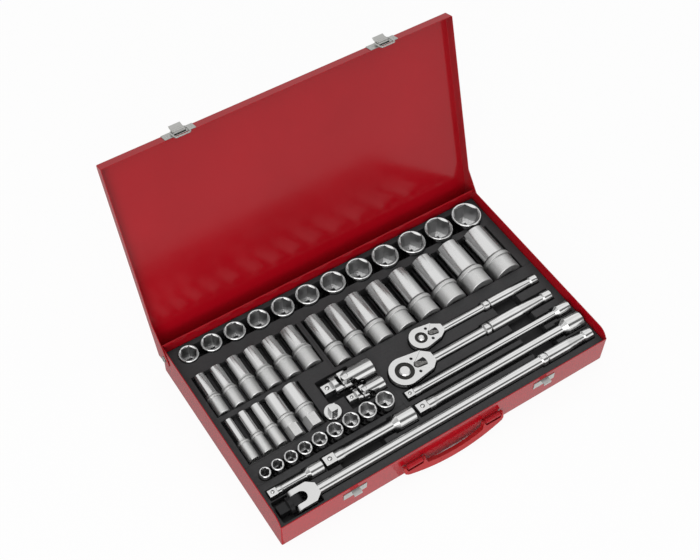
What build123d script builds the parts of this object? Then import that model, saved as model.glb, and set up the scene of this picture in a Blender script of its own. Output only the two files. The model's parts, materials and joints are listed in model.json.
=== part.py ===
from build123d import *
import os
from collections import namedtuple
from itertools import accumulate
from math import acos, asin, atan2, cos, pi, radians, sin, sqrt, tan

os.makedirs("parts", exist_ok=True)

# Socket wrench set in a sheet-steel case, lid open.
# Frame: millimetres, origin at the centre of the base's underside, +X right, +Y to the hinge, +Z up.

# Case base
SHEET = 1.0
FOLD_RADIUS = 1.6
FRONT_DROP = 9.5
CORNER_SWEEP = 16.0
SWEEP_MARGIN = 0.6
HEM_HEIGHT = 5.0
HEADROOM = 0.7

# Lid and hinge
LID_GAP = 0.4
LID_SWING_GAP = 0.3
LID_FLANGE = 14.0
LID_OPEN = 108.0
LID_STOP_GAP = 0.3
HINGE_INSET = 7.1
HINGE_DROP = 19.3
EAR_RADIUS = 11.0
EAR_LENGTH = 57.7
RIVET_RADIUS = 2.5
RIVET_HEAD_RADIUS = 4.5
RIVET_HEAD_HEIGHT = 1.6
RIVET_CROWN_RADIUS = 2.8
RUNNING_GAP = 0.05
MOVING_GAP = 0.3

# Draw latches
LATCH_SPAN = 280.0
LATCH_PLATE_WIDTH = 40.0
LATCH_PLATE_HEIGHT = 12.0
LATCH_PLATE_THICKNESS = 1.0
LATCH_PLATE_INSET = 0.8
LEVER_WIDTH = 14.6
LEVER_STANDOFF = 3.7
LEVER_HEIGHT = 3.6
LEVER_HUB_RADIUS = 2.3
LEVER_LENGTH = 12.4
LEVER_LIFT = 3.2
LEVER_THICKNESS = 1.7
LEVER_PIN_RADIUS = 1.2
CHEEK_THICKNESS = 1.0
CHEEK_RADIUS = 2.4
BAIL_ARM = 4.2
BAIL_WIRE_RADIUS = 1.0
BAIL_REACH = 8.6
BAIL_BEND = 2.5
BAIL_GRIP = 3.0
CATCH_WIDTH = 32.0
CATCH_HEIGHT = 11.0
CATCH_THICKNESS = 1.0
TONGUE_WIDTH = 11.0
TONGUE_THICKNESS = 1.2
TONGUE_LIP = 0.8

# Carrying handle
HANDLE_REST = 71.0
HANDLE_REACH = 23.0
HANDLE_DEPTH = 11.5
HANDLE_FLAT = 45.0
HANDLE_BEND = 45.0
HANDLE_CORNER = 6.0
HANDLE_SHOULDER = 14.5
HANDLE_THICKNESS = 6.0
HANDLE_ROUNDING = 1.5
HANDLE_FLOOR_GAP = 0.5
EYE_INNER = 46.0
EYE_LENGTH = 24.0
EYE_DEPTH = 6.0
EYE_WEB = 3.5
EYE_ROD_RADIUS = 2.0
STRAP_THICKNESS = 1.2
STRAP_END_GAP = 1.0
STRAP_STANDOFF = 4.0
STRAP_PLATE_HEIGHT = 13.0
STRAP_PLATE_THICKNESS = 1.0

# Moulded tray
TRAY_TOP = 38.0
TRAY_GAP = 0.6
TRAY_FLOOR = 1.4
WELL_GAP = 0.6
WELL_DEPTH = 9.0
WELL_SHARE = 0.8
BED_SHARE = 0.6
BED_GAP = 1.0
SEAT = 0.3
BED_RISE = 30.0
BAND_FLOOR = 24.0
BAND_CORNER = 10.0
POCKET_CORNER = 2.0
SEAM = 0.2

# Square drives
LARGE_DRIVE = 12.7
SMALL_DRIVE = 9.525
DRIVE_GAP = 0.1
DRIVE_CHAMFER = 0.8

# Sockets, by width across flats
SHALLOW_LARGE = (19, 20, 21, 22, 23, 24, 26, 27, 28, 29, 30, 32)
DEEP_LARGE = (17, 18, 20, 22, 24, 27, 29, 30)
DEEP_SMALL = (12, 13, 15, 16, 17, 19)
SLIM_SMALL = (8, 10, 11)
PLUG_SMALL = (16, 18)
SHALLOW_SMALL = (10, 11, 12, 13, 14, 15, 16, 17, 18)
SHALLOW_LARGE_WALL = 2.0
DEEP_LARGE_WALL = 2.1
DEEP_SMALL_WALL = 1.7
SHALLOW_SMALL_WALL = 1.5
PLUG_WALL = 1.2
SHALLOW_LARGE_HEIGHT = 38.0
SHALLOW_LARGE_GROWTH = 0.5
SHALLOW_SMALL_HEIGHT = 26.0
SHALLOW_SMALL_GROWTH = 0.5
DEEP_LARGE_LENGTH = 79.5
DEEP_SMALL_LENGTH = 64.0
PLUG_LENGTH = 66.0
PLUG_HEX_LENGTH = 17.0
PLUG_NECK = 11.0
SLIM_DRIVE_RADIUS = 7.5
DRIVE_END = 14.0
DEEP_LARGE_DRIVE_END = 22.0
DEEP_SMALL_DRIVE_END = 24.0
MOUTH_CHAMFER = 0.8
LEAD_IN = 30.0
LEAD_IN_MARGIN = 0.2
WAIST_STEP = 0.8
LARGE_RING = 1.6
SMALL_RING = 0.9
RING_FLARE = 2.0
RING_WIDTH = 5.0
DRIVE_PART_STEP = 0.3
MOUTH_STEP = 0.5
LARGE_DRIVE_DEPTH = 15.0
SMALL_DRIVE_DEPTH = 11.0
SHALLOW_SMALL_FLOOR = 20.0
DEEP_LARGE_AXIS = 33.0
DEEP_SMALL_AXIS = 35.0

# Extension bars
LARGE_EXTENSION = 254.0
MEDIUM_EXTENSION = 127.0
SHORT_EXTENSION = 73.0
BAR_AXIS = 38.0
Extension = namedtuple(
    "Extension", "drive tip collar_radius collar bar_radius cone end_radius end_length depth")
LARGE_BAR = Extension(
    drive=LARGE_DRIVE, tip=15.0, collar_radius=7.6, collar=8.0, bar_radius=6.3, cone=7.0, end_radius=11.3,
    end_length=24.0, depth=LARGE_DRIVE_DEPTH)
SMALL_BAR = Extension(
    drive=SMALL_DRIVE, tip=11.0, collar_radius=5.8, collar=7.0, bar_radius=4.7, cone=5.0, end_radius=8.3,
    end_length=18.0, depth=SMALL_DRIVE_DEPTH)
SHORT_BAR = SMALL_BAR._replace(collar=4.0)

# Drive adapter
ADAPTER_RADIUS = 11.35
ADAPTER_BODY = 22.0
ADAPTER_TANG = 9.0
ADAPTER_TOP = 51.0

# Ratchets
Ratchet = namedtuple("Ratchet", (
    "name drive length head_radius head_bottom head_top axis corner_x corner_y neck_x neck_radius "
    "shaft_radius grip_length grip_radius waist_radius knob_length knob_radius ring_radius button_radius "
    "gear_radius tooth teeth hub_radius square_length pawl_reach pawl_depth selector_length "
    "selector_radius screw_x screw_y cover"))
LARGE_RATCHET = Ratchet(
    name="large_ratchet", drive=LARGE_DRIVE, length=250.0, head_radius=20.2, head_bottom=26.0,
    head_top=46.0, axis=36.0, corner_x=33.5, corner_y=15.2, neck_x=43.4, neck_radius=6.8,
    shaft_radius=6.2, grip_length=106.0, grip_radius=8.6, waist_radius=6.2, knob_length=14.0,
    knob_radius=7.8, ring_radius=12.5, button_radius=7.5, gear_radius=14.6, tooth=1.1, teeth=36,
    hub_radius=9.6, square_length=16.0, pawl_reach=8.0, pawl_depth=7.5, selector_length=12.5,
    selector_radius=4.0, screw_x=16.7, screw_y=10.6, cover=3.0)
SMALL_RATCHET = Ratchet(
    name="small_ratchet", drive=SMALL_DRIVE, length=200.0, head_radius=15.8, head_bottom=30.0,
    head_top=46.0, axis=38.0, corner_x=22.5, corner_y=12.2, neck_x=33.5, neck_radius=5.2,
    shaft_radius=4.9, grip_length=86.0, grip_radius=6.8, waist_radius=4.8, knob_length=12.0,
    knob_radius=6.2, ring_radius=8.2, button_radius=4.6, gear_radius=10.8, tooth=0.9, teeth=36,
    hub_radius=7.4, square_length=12.0, pawl_reach=5.6, pawl_depth=6.5, selector_length=10.0,
    selector_radius=3.2, screw_x=12.4, screw_y=8.4, cover=2.6)
GRIP_BEAD = 6.0
GRIP_GROOVE = 1.0
NECK_TAPER = 10.0
KNOB_STEP = 2.0
HEAD_FLOOR = 3.0
HUB_GAP = 0.1
HUB_STEP = 0.8
RING_RECESS = 0.6
BUTTON_HEIGHT = 4.5
BUTTON_RISE = 1.5
BUTTON_TRAVEL = 2.0
BUTTON_STEM = 2.2
SELECTOR_REST = 18.0
SELECTOR_RECESS = 1.4
SELECTOR_SHAFT = 1.8
SELECTOR_TAIL = 1.9
SELECTOR_RISE = 0.6
RECESS_MARGIN = 1.2
SCREW_RADIUS = 2.0
SCREW_DEPTH = 0.9
PAWL_GAP = 0.75
PAWL_ROCK = 3.0
PAWL_PIN = 1.3
PAWL_PIN_LENGTH = 4.0
PAWL_NOTCHES = 6

# Universal joints
Universal = namedtuple(
    "Universal", "name drive radius cross_at arm_gap arm_half slot pin_radius shoulder square depth")
LARGE_UNIVERSAL = Universal(
    name="large_universal", drive=LARGE_DRIVE, radius=13.0, cross_at=38.0, arm_gap=7.0, arm_half=6.2,
    slot=13.0, pin_radius=3.0, shoulder=7.0, square=13.0, depth=LARGE_DRIVE_DEPTH)
SMALL_UNIVERSAL = Universal(
    name="small_universal", drive=SMALL_DRIVE, radius=9.5, cross_at=26.5, arm_gap=5.2, arm_half=4.6,
    slot=9.5, pin_radius=2.2, shoulder=4.5, square=10.5, depth=SMALL_DRIVE_DEPTH)
CROSS_GAP = 0.35
UNIVERSAL_AXIS = 38.0
UNIVERSAL_SWING = 12.0

# Hinged-head bar
BREAKER_LENGTH = 463.0
BREAKER_SQUARE = 13.0
BREAKER_SHOULDER = 5.5
BREAKER_SHOULDER_RADIUS = 11.0
FORK_HALF = 14.0
FORK_GAP_HALF = 7.0
FORK_ARM_HEIGHT = 15.0
FORK_PIN_RADIUS = 3.5
FORK_ARM_LENGTH = 20.0
FORK_WEB = 6.0
FORK_TAPER = 9.0
FORK_HEAD_GAP = 0.5
TONGUE_GAP = 0.4
BREAKER_BAR_RADIUS = 7.0
BREAKER_GRIP = 80.0
BREAKER_GRIP_RADIUS = 8.5
BREAKER_WAIST_RADIUS = 6.4
BREAKER_KNOB = 14.0
BREAKER_KNOB_RADIUS = 8.0

# Spacing of the tools across the tray
SOCKET_EDGE = 12.4
BAR_EDGE = 6.5
EXTENSION_EDGE = 4.4
EXTENSION_LEFT_EDGE = 9.0
RATCHET_EDGE = 11.5
SHALLOW_LARGE_GAP = 5.56
DEEP_LARGE_GAP = 5.7
DEEP_SMALL_GAP = 4.2
SLIM_GAP = 3.6
SHALLOW_SMALL_GAP = 2.2
DEEP_SET_GAP = 11.0
EXTENSION_GAP_X = 6.0
SHORT_EXTENSION_GAP_X = 3.0
SLIM_TO_ADAPTER = 2.7
ADAPTER_TO_UNIVERSAL = 13.0
UNIVERSAL_TO_RATCHET = 8.5
RATCHET_HEAD_GAP = 9.6
BAND_FROM_RIGHT = 50.0
BAND_WIDTH = 38.0
LEFT_BAND_FROM_LEFT = 101.0
LEFT_BAND_WIDTH = 62.0

# Spacing of the tools from back to front
BACK_EDGE = 4.0
ROW_GAP = 5.5
DEEP_TO_RATCHET = 10.2
HEAD_TO_NECK = 6.9
RATCHET_TO_BAR = 2.85
DEEP_TO_UNIVERSAL = 11.0
UNIVERSAL_GAP = 3.4
ADAPTER_OFFSET = 4.0
DEEP_TO_SLIM = 9.0
SLIM_TO_SHALLOW = 5.8
UNIVERSAL_TO_SHALLOW = 5.0
BAR_GAP = 4.1
SHALLOW_TO_BAR = 6.6
BREAKER_GAP = 4.2
FRONT_EDGE = 5.9


def outer_radius(flats, wall):
    """Radius of a socket round a hexagon of the given width across flats."""
    return flats / sqrt(3) + wall


def row(radii, gap):
    """Centres of a row of round pieces, from the row's left edge, and the row's length."""
    ends = list(accumulate(2 * radius + gap for radius in radii))
    return [end - gap - radius for end, radius in zip(ends, radii)], ends[-1] - gap


def universal_drive_length(u):
    """Length of a universal joint's drive yoke from the cross to the tip."""
    return u.slot + u.shoulder + u.square


# Outer radii and rows
SHALLOW_LARGE_RADII = [outer_radius(flats, SHALLOW_LARGE_WALL) for flats in SHALLOW_LARGE]
DEEP_LARGE_RADII = [outer_radius(flats, DEEP_LARGE_WALL) for flats in DEEP_LARGE]
DEEP_SMALL_RADII = [outer_radius(flats, DEEP_SMALL_WALL) for flats in DEEP_SMALL]
SLIM_RADII = [outer_radius(flats, DEEP_SMALL_WALL) for flats in SLIM_SMALL]
PLUG_RADII = [outer_radius(flats, PLUG_WALL) for flats in PLUG_SMALL]
SHALLOW_SMALL_RADII = [outer_radius(flats, SHALLOW_SMALL_WALL) for flats in SHALLOW_SMALL]
SLIM_WIDEST = [max(radius, SLIM_DRIVE_RADIUS) for radius in SLIM_RADII]
SHALLOW_LARGE_X, SHALLOW_LARGE_ROW = row(SHALLOW_LARGE_RADII, SHALLOW_LARGE_GAP)
DEEP_LARGE_X, DEEP_LARGE_ROW = row(DEEP_LARGE_RADII, DEEP_LARGE_GAP)
DEEP_SMALL_X, DEEP_SMALL_ROW = row(DEEP_SMALL_RADII, DEEP_SMALL_GAP)
SLIM_X, SLIM_ROW = row(SLIM_WIDEST + PLUG_RADII, SLIM_GAP)
SHALLOW_SMALL_X, SHALLOW_SMALL_ROW = row(SHALLOW_SMALL_RADII, SHALLOW_SMALL_GAP)

# Row of the adapter, universal joints and ratchets, as distances from the tray's left edge
ADAPTER_AT = SOCKET_EDGE + SLIM_ROW + SLIM_TO_ADAPTER + ADAPTER_RADIUS
SMALL_CROSS_AT = (
    ADAPTER_AT + ADAPTER_RADIUS + ADAPTER_TO_UNIVERSAL + universal_drive_length(SMALL_UNIVERSAL))
UNIVERSAL_END = SMALL_CROSS_AT + SMALL_UNIVERSAL.cross_at
LARGE_CROSS_AT = UNIVERSAL_END - LARGE_UNIVERSAL.cross_at
LARGE_HEAD_AT = UNIVERSAL_END + UNIVERSAL_TO_RATCHET + LARGE_RATCHET.head_radius
SMALL_HEAD_AT = LARGE_HEAD_AT + LARGE_RATCHET.head_radius + RATCHET_HEAD_GAP + SMALL_RATCHET.head_radius

# Tray length from the longest row
EXTENSION_ROW = (
    LARGE_EXTENSION + EXTENSION_GAP_X + MEDIUM_EXTENSION + SHORT_EXTENSION_GAP_X + SHORT_EXTENSION)
TRAY_LENGTH = max(
    SHALLOW_LARGE_ROW + SOCKET_EDGE + BAR_EDGE,
    DEEP_SMALL_ROW + DEEP_SET_GAP + DEEP_LARGE_ROW + 2 * SOCKET_EDGE,
    LARGE_HEAD_AT + LARGE_RATCHET.length - LARGE_RATCHET.head_radius + RATCHET_EDGE,
    SMALL_HEAD_AT + SMALL_RATCHET.length - SMALL_RATCHET.head_radius + RATCHET_EDGE,
    EXTENSION_ROW + EXTENSION_EDGE + EXTENSION_LEFT_EDGE,
    BREAKER_LENGTH + 2 * BAR_EDGE)
LEFT = -TRAY_LENGTH / 2
RIGHT = TRAY_LENGTH / 2

# Tray width from the rows, each as a distance from the tray's back edge
DEEP_BACK = BACK_EDGE + 2 * max(SHALLOW_LARGE_RADII) + ROW_GAP
DEEP_LARGE_FRONT = DEEP_BACK + DEEP_LARGE_LENGTH
DEEP_SMALL_FRONT = DEEP_BACK + DEEP_SMALL_LENGTH
SMALL_RATCHET_LINE = DEEP_LARGE_FRONT + DEEP_TO_RATCHET + SMALL_RATCHET.head_radius
LARGE_RATCHET_LINE = (
    SMALL_RATCHET_LINE + SMALL_RATCHET.head_radius + HEAD_TO_NECK + LARGE_RATCHET.neck_radius)
SMALL_BAR_LINE = LARGE_RATCHET_LINE + LARGE_RATCHET.head_radius + RATCHET_TO_BAR + SMALL_DRIVE / 2
LARGE_UNIVERSAL_LINE = DEEP_LARGE_FRONT + DEEP_TO_UNIVERSAL + LARGE_UNIVERSAL.radius
SMALL_UNIVERSAL_LINE = LARGE_UNIVERSAL_LINE + LARGE_UNIVERSAL.radius + UNIVERSAL_GAP + SMALL_UNIVERSAL.radius
ADAPTER_LINE = SMALL_UNIVERSAL_LINE + ADAPTER_OFFSET
SLIM_BACK = DEEP_SMALL_FRONT + DEEP_TO_SLIM
SHALLOW_SMALL_BACK = max(
    SLIM_BACK + max(DEEP_SMALL_LENGTH, PLUG_LENGTH) + SLIM_TO_SHALLOW,
    SMALL_UNIVERSAL_LINE + SMALL_UNIVERSAL.radius + UNIVERSAL_TO_SHALLOW,
    ADAPTER_LINE + ADAPTER_RADIUS)
SHALLOW_SMALL_FRONT = SHALLOW_SMALL_BACK + 2 * max(SHALLOW_SMALL_RADII)
LARGE_BAR_LINE = max(
    SMALL_BAR_LINE + SMALL_BAR.end_radius + BAR_GAP + LARGE_BAR.end_radius,
    SHALLOW_SMALL_FRONT + SHALLOW_TO_BAR + LARGE_BAR.end_radius)
BREAKER_LINE = LARGE_BAR_LINE + LARGE_BAR.end_radius + BREAKER_GAP + BREAKER_GRIP_RADIUS
TRAY_WIDTH = BREAKER_LINE + FORK_HALF + FRONT_EDGE
BACK = TRAY_WIDTH / 2

# Places of the tools
SHALLOW_LARGE_SEAT = SHEET + TRAY_FLOOR + SEAT
SHALLOW_LARGE_HEIGHTS = [SHALLOW_LARGE_HEIGHT + SHALLOW_LARGE_GROWTH * i for i in range(len(SHALLOW_LARGE))]
SHALLOW_SMALL_HEIGHTS = [SHALLOW_SMALL_HEIGHT + SHALLOW_SMALL_GROWTH * i for i in range(len(SHALLOW_SMALL))]
SHALLOW_LARGE_PLACES = [
    (LEFT + SOCKET_EDGE + x, BACK - BACK_EDGE - radius)
    for x, radius in zip(SHALLOW_LARGE_X, SHALLOW_LARGE_RADII)]
SHALLOW_SMALL_PLACES = [
    (LEFT + SOCKET_EDGE + x, BACK - SHALLOW_SMALL_FRONT + radius)
    for x, radius in zip(SHALLOW_SMALL_X, SHALLOW_SMALL_RADII)]
DEEP_LARGE_LEFT = LEFT + SOCKET_EDGE + DEEP_SMALL_ROW + DEEP_SET_GAP
LARGE_HEAD = (LEFT + LARGE_HEAD_AT, BACK - LARGE_RATCHET_LINE)
SMALL_HEAD = (LEFT + SMALL_HEAD_AT, BACK - SMALL_RATCHET_LINE)
LARGE_CROSS = (LEFT + LARGE_CROSS_AT, BACK - LARGE_UNIVERSAL_LINE)
SMALL_CROSS = (LEFT + SMALL_CROSS_AT, BACK - SMALL_UNIVERSAL_LINE)
ADAPTER_PLACE = (LEFT + ADAPTER_AT, BACK - ADAPTER_LINE)
LONG_BAR_START = RIGHT - EXTENSION_EDGE - LARGE_EXTENSION
MEDIUM_BAR_START = LONG_BAR_START - EXTENSION_GAP_X - MEDIUM_EXTENSION
SHORT_BAR_START = MEDIUM_BAR_START - SHORT_EXTENSION_GAP_X - SHORT_EXTENSION
BREAKER_START = RIGHT - BAR_EDGE - BREAKER_LENGTH
BREAKER_Y = BACK - BREAKER_LINE
BREAKER_PIN_AT = BREAKER_SQUARE + BREAKER_SHOULDER + FORK_HEAD_GAP + FORK_ARM_HEIGHT / 2

# Case sizes round the tools
TOOL_TOP = max(
    SHALLOW_LARGE_SEAT + max(SHALLOW_LARGE_HEIGHTS),
    SHALLOW_SMALL_FLOOR + max(SHALLOW_SMALL_HEIGHTS),
    DEEP_LARGE_AXIS + max(DEEP_LARGE_RADII) + LARGE_RING,
    DEEP_SMALL_AXIS + max(DEEP_SMALL_RADII) + SMALL_RING,
    UNIVERSAL_AXIS + LARGE_UNIVERSAL.radius,
    BAR_AXIS + max(LARGE_BAR.end_radius, BREAKER_SHOULDER_RADIUS),
    LARGE_RATCHET.head_top + BUTTON_TRAVEL,
    SMALL_RATCHET.head_top + BUTTON_TRAVEL,
    ADAPTER_TOP)
WALL_HEIGHT = TOOL_TOP + HEADROOM
FRONT_HEIGHT = WALL_HEIGHT - FRONT_DROP
CASE_LENGTH = TRAY_LENGTH + 2 * (TRAY_GAP + SHEET)
CASE_WIDTH = TRAY_WIDTH + 2 * (TRAY_GAP + SHEET)
FRONT_FACE = -CASE_WIDTH / 2
BACK_FACE = CASE_WIDTH / 2

# Lid sizes with the lid shut
LID_LENGTH = CASE_LENGTH + 2 * (LID_GAP + SHEET)
LID_WIDTH = CASE_WIDTH + 2 * (LID_GAP + SHEET)
LID_SEAT = sqrt(HINGE_INSET**2 + HINGE_DROP**2) - HINGE_DROP + LID_SWING_GAP
LID_TOP = WALL_HEIGHT + LID_SEAT + SHEET
LID_EDGE = LID_TOP - LID_FLANGE
LID_FACE = -LID_WIDTH / 2
LID_BACK = LID_WIDTH / 2
HINGE_Y = BACK_FACE - HINGE_INSET
HINGE_Z = WALL_HEIGHT - HINGE_DROP
TURN = radians(LID_OPEN)
STOP_REACH = (LID_BACK - HINGE_Y) * cos(TURN) + (LID_TOP - HINGE_Z) * sin(TURN)
BACK_FLANGE = (STOP_REACH - HINGE_INSET - LID_STOP_GAP) / sin(TURN)
OPENED = Pos(0, HINGE_Y, HINGE_Z) * Rot(-LID_OPEN, 0, 0) * Pos(0, -HINGE_Y, -HINGE_Z)

# Latch places with the lid shut
LEVER_Y = LID_FACE - LEVER_STANDOFF
LEVER_Z = LID_EDGE + LEVER_HEIGHT
BAIL_Z = LEVER_Z + BAIL_ARM
BAIL_BOTTOM = LID_EDGE - BAIL_REACH
TONGUE_Z = BAIL_BOTTOM + BAIL_WIRE_RADIUS + MOVING_GAP
CHEEK_INNER = LEVER_WIDTH / 2 + MOVING_GAP
BAIL_HALF = CHEEK_INNER + CHEEK_THICKNESS + MOVING_GAP + BAIL_WIRE_RADIUS
LATCH_SIDES = {"left": -LATCH_SPAN / 2, "right": LATCH_SPAN / 2}

# Handle place
HANDLE_TILT = radians(HANDLE_REST)
HANDLE_Y = FRONT_FACE - STRAP_STANDOFF
HANDLE_Z = HANDLE_REACH * sin(HANDLE_TILT) + HANDLE_THICKNESS / 2 * cos(HANDLE_TILT) + HANDLE_FLOOR_GAP


def opened(plane):
    """A plane drawn on the shut lid, carried round to the open lid."""
    return Plane(OPENED * plane.location)


def along(x, y, z):
    """Plane of a piece lying along +X, drawn from its left end."""
    return Plane((x, y, z), x_dir=(1, 0, 0), z_dir=(0, 0, 1))


def forward(x, y, z):
    """Plane of a piece lying towards the front, drawn from its back end."""
    return Plane((x, y, z), x_dir=(0, -1, 0), z_dir=(0, 0, 1))


def upright(x, y, top):
    """Plane of a standing piece, drawn downwards from its top."""
    return Plane((x, y, top), x_dir=(0, 0, -1), z_dir=(0, 1, 0))


def side(x, y, z):
    """Side view at a front face: local x points out to the front, local y up."""
    return Plane((x, y, z), x_dir=(0, -1, 0), z_dir=(-1, 0, 0))


def turned(plane, angle):
    """A plane turned about its own normal."""
    return Plane(plane.location * Rot(0, 0, angle))


def across(plane, distance):
    """Plane square to a piece's axis, at a distance along it, facing along it."""
    return Plane(plane.origin + plane.x_dir * distance, x_dir=plane.y_dir, z_dir=plane.x_dir)


def turn(plane, outline, mode=Mode.ADD):
    """Turn an outline of (distance, radius) points about the plane's x axis."""
    with BuildSketch(plane) as profile:
        with BuildLine():
            Polyline((outline[0][0], 0), *outline, (outline[-1][0], 0), close=True)
        make_face()
    revolve(profile.sketch, axis=Axis(plane.origin, plane.x_dir), mode=mode)


def square_hole(plane, start, size, depth):
    """Square drive recess along the axis, from a distance along it."""
    with BuildSketch(across(plane, start)) as drive:
        Rectangle(size + 2 * DRIVE_GAP, size + 2 * DRIVE_GAP)
    extrude(drive.sketch, amount=depth, mode=Mode.SUBTRACT)


def square_tip(plane, start, size, length):
    """Square drive tang with broken corners, along the axis."""
    with BuildSketch(across(plane, start)) as drive:
        Rectangle(size, size)
        chamfer(drive.vertices(), DRIVE_CHAMFER)
    extrude(drive.sketch, amount=length)


def hex_hole(plane, flats, depth):
    """Hexagonal mouth at the start of the axis, with a cone that leads a bolt head in."""
    with BuildSketch(across(plane, 0)) as mouth:
        RegularPolygon(flats / 2, 6, major_radius=False)
    extrude(mouth.sketch, amount=depth, mode=Mode.SUBTRACT)
    lead_radius = flats / sqrt(3) + LEAD_IN_MARGIN
    lead_depth = (lead_radius - flats / 2) * tan(radians(LEAD_IN))
    turn(plane, [(0, lead_radius), (lead_depth, flats / 2)], Mode.SUBTRACT)


def save(builder, name):
    """Label a finished piece and write it out."""
    builder.part.label = name
    export_step(builder.part, f"parts/{name}.step")


def shallow_outline(radius, height):
    """Shallow socket from mouth to drive end, with a stepped-in drive end."""
    drive_radius = radius - WAIST_STEP
    waist = height - DRIVE_END
    return [
        (0, radius - MOUTH_CHAMFER), (MOUTH_CHAMFER, radius), (waist - WAIST_STEP, radius),
        (waist, drive_radius), (height - MOUTH_CHAMFER, drive_radius), (height, drive_radius - MOUTH_CHAMFER)]


def deep_outline(radius, drive_radius, length, drive_end, ring_height):
    """Deep socket: plain mouth part, flared ring, drive part."""
    mouth = radius - MOUTH_STEP
    drive = drive_radius - DRIVE_PART_STEP
    ring = length - drive_end
    ring_start = ring - RING_WIDTH * ring_height
    ring_radius = max(radius, drive_radius) + ring_height
    return [
        (0, mouth - MOUTH_CHAMFER), (MOUTH_CHAMFER, mouth), (ring_start, mouth),
        (ring_start + RING_FLARE * ring_height, ring_radius), (ring - DRIVE_PART_STEP, ring_radius),
        (ring, ring_radius - DRIVE_PART_STEP), (ring, drive), (length - MOUTH_CHAMFER, drive),
        (length, drive - MOUTH_CHAMFER)]


def grip_outline(start, end, shaft_radius, grip_radius, waist_radius, knob_radius, knob_length):
    """Turned grip from its start to its end: bead, groove, taper, waist, knob."""
    groove = start + GRIP_BEAD + GRIP_GROOVE
    knob = end - knob_length
    return [
        (start - KNOB_STEP, shaft_radius), (start, grip_radius), (start + GRIP_BEAD, grip_radius),
        (groove, shaft_radius), (groove + GRIP_GROOVE, shaft_radius), (groove + 2 * GRIP_GROOVE, grip_radius),
        ((start + end) / 2, grip_radius), (knob - KNOB_STEP, waist_radius), (knob, waist_radius),
        (knob + KNOB_STEP, knob_radius), (end - MOUTH_CHAMFER, knob_radius),
        (end, knob_radius - MOUTH_CHAMFER)]


def make_socket(plane, flats, outline, drive, drive_depth):
    """Turned socket with a hexagonal mouth that meets a square drive recess."""
    length = outline[-1][0]
    turn(plane, outline)
    hex_hole(plane, flats, length - drive_depth)
    square_hole(plane, length - drive_depth, drive, drive_depth)


# Case base
with BuildPart() as case_base:
    with BuildSketch():
        RectangleRounded(CASE_LENGTH, CASE_WIDTH, FOLD_RADIUS)
    extrude(amount=WALL_HEIGHT)
    fillet(case_base.faces().sort_by(Axis.Z)[0].edges(), FOLD_RADIUS)
    offset(amount=-SHEET, openings=case_base.faces().sort_by(Axis.Z)[-1])
    with BuildSketch(Plane.XY.offset(WALL_HEIGHT - HEM_HEIGHT)):
        with Locations((0, BACK_FACE - SHEET - SHEET / 2)):
            Rectangle(CASE_LENGTH - 2 * (SHEET + FOLD_RADIUS), SHEET)
    extrude(amount=HEM_HEIGHT)
    sweep_start = FRONT_FACE + FOLD_RADIUS + SWEEP_MARGIN
    sweep_y = sweep_start + sqrt(CORNER_SWEEP**2 - (CORNER_SWEEP - FRONT_DROP) ** 2)
    with BuildSketch(Plane.YZ):
        with BuildLine():
            arc = RadiusArc((sweep_start, FRONT_HEIGHT), (sweep_y, WALL_HEIGHT), CORNER_SWEEP)
            Polyline(
                arc @ 1, (sweep_y, WALL_HEIGHT + FRONT_DROP),
                (FRONT_FACE - FRONT_DROP, WALL_HEIGHT + FRONT_DROP),
                (FRONT_FACE - FRONT_DROP, FRONT_HEIGHT), arc @ 0)
        make_face()
    extrude(amount=CASE_LENGTH, both=True, mode=Mode.SUBTRACT)
    with BuildSketch(Plane.YZ):
        with Locations((HINGE_Y, HINGE_Z)):
            Circle(RIVET_RADIUS + RUNNING_GAP)
    extrude(amount=CASE_LENGTH, both=True, mode=Mode.SUBTRACT)
save(case_base, "case_base")

# Hinge rivets, flush inside the walls and headed outside the ears
rivet_shank = 2 * SHEET + LID_GAP + MOVING_GAP
with BuildPart() as hinge_rivets:
    for hand in (-1, 1):
        shank_start = (hand * (CASE_LENGTH / 2 - SHEET), HINGE_Y, HINGE_Z)
        shank_plane = Plane(shank_start, x_dir=(hand, 0, 0), z_dir=(0, 0, 1))
        turn(shank_plane, [
            (0, RIVET_RADIUS), (rivet_shank, RIVET_RADIUS), (rivet_shank, RIVET_HEAD_RADIUS),
            (rivet_shank + RIVET_HEAD_HEIGHT / 2, RIVET_HEAD_RADIUS),
            (rivet_shank + RIVET_HEAD_HEIGHT, RIVET_CROWN_RADIUS)])
save(hinge_rivets, "hinge_rivets")

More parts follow.
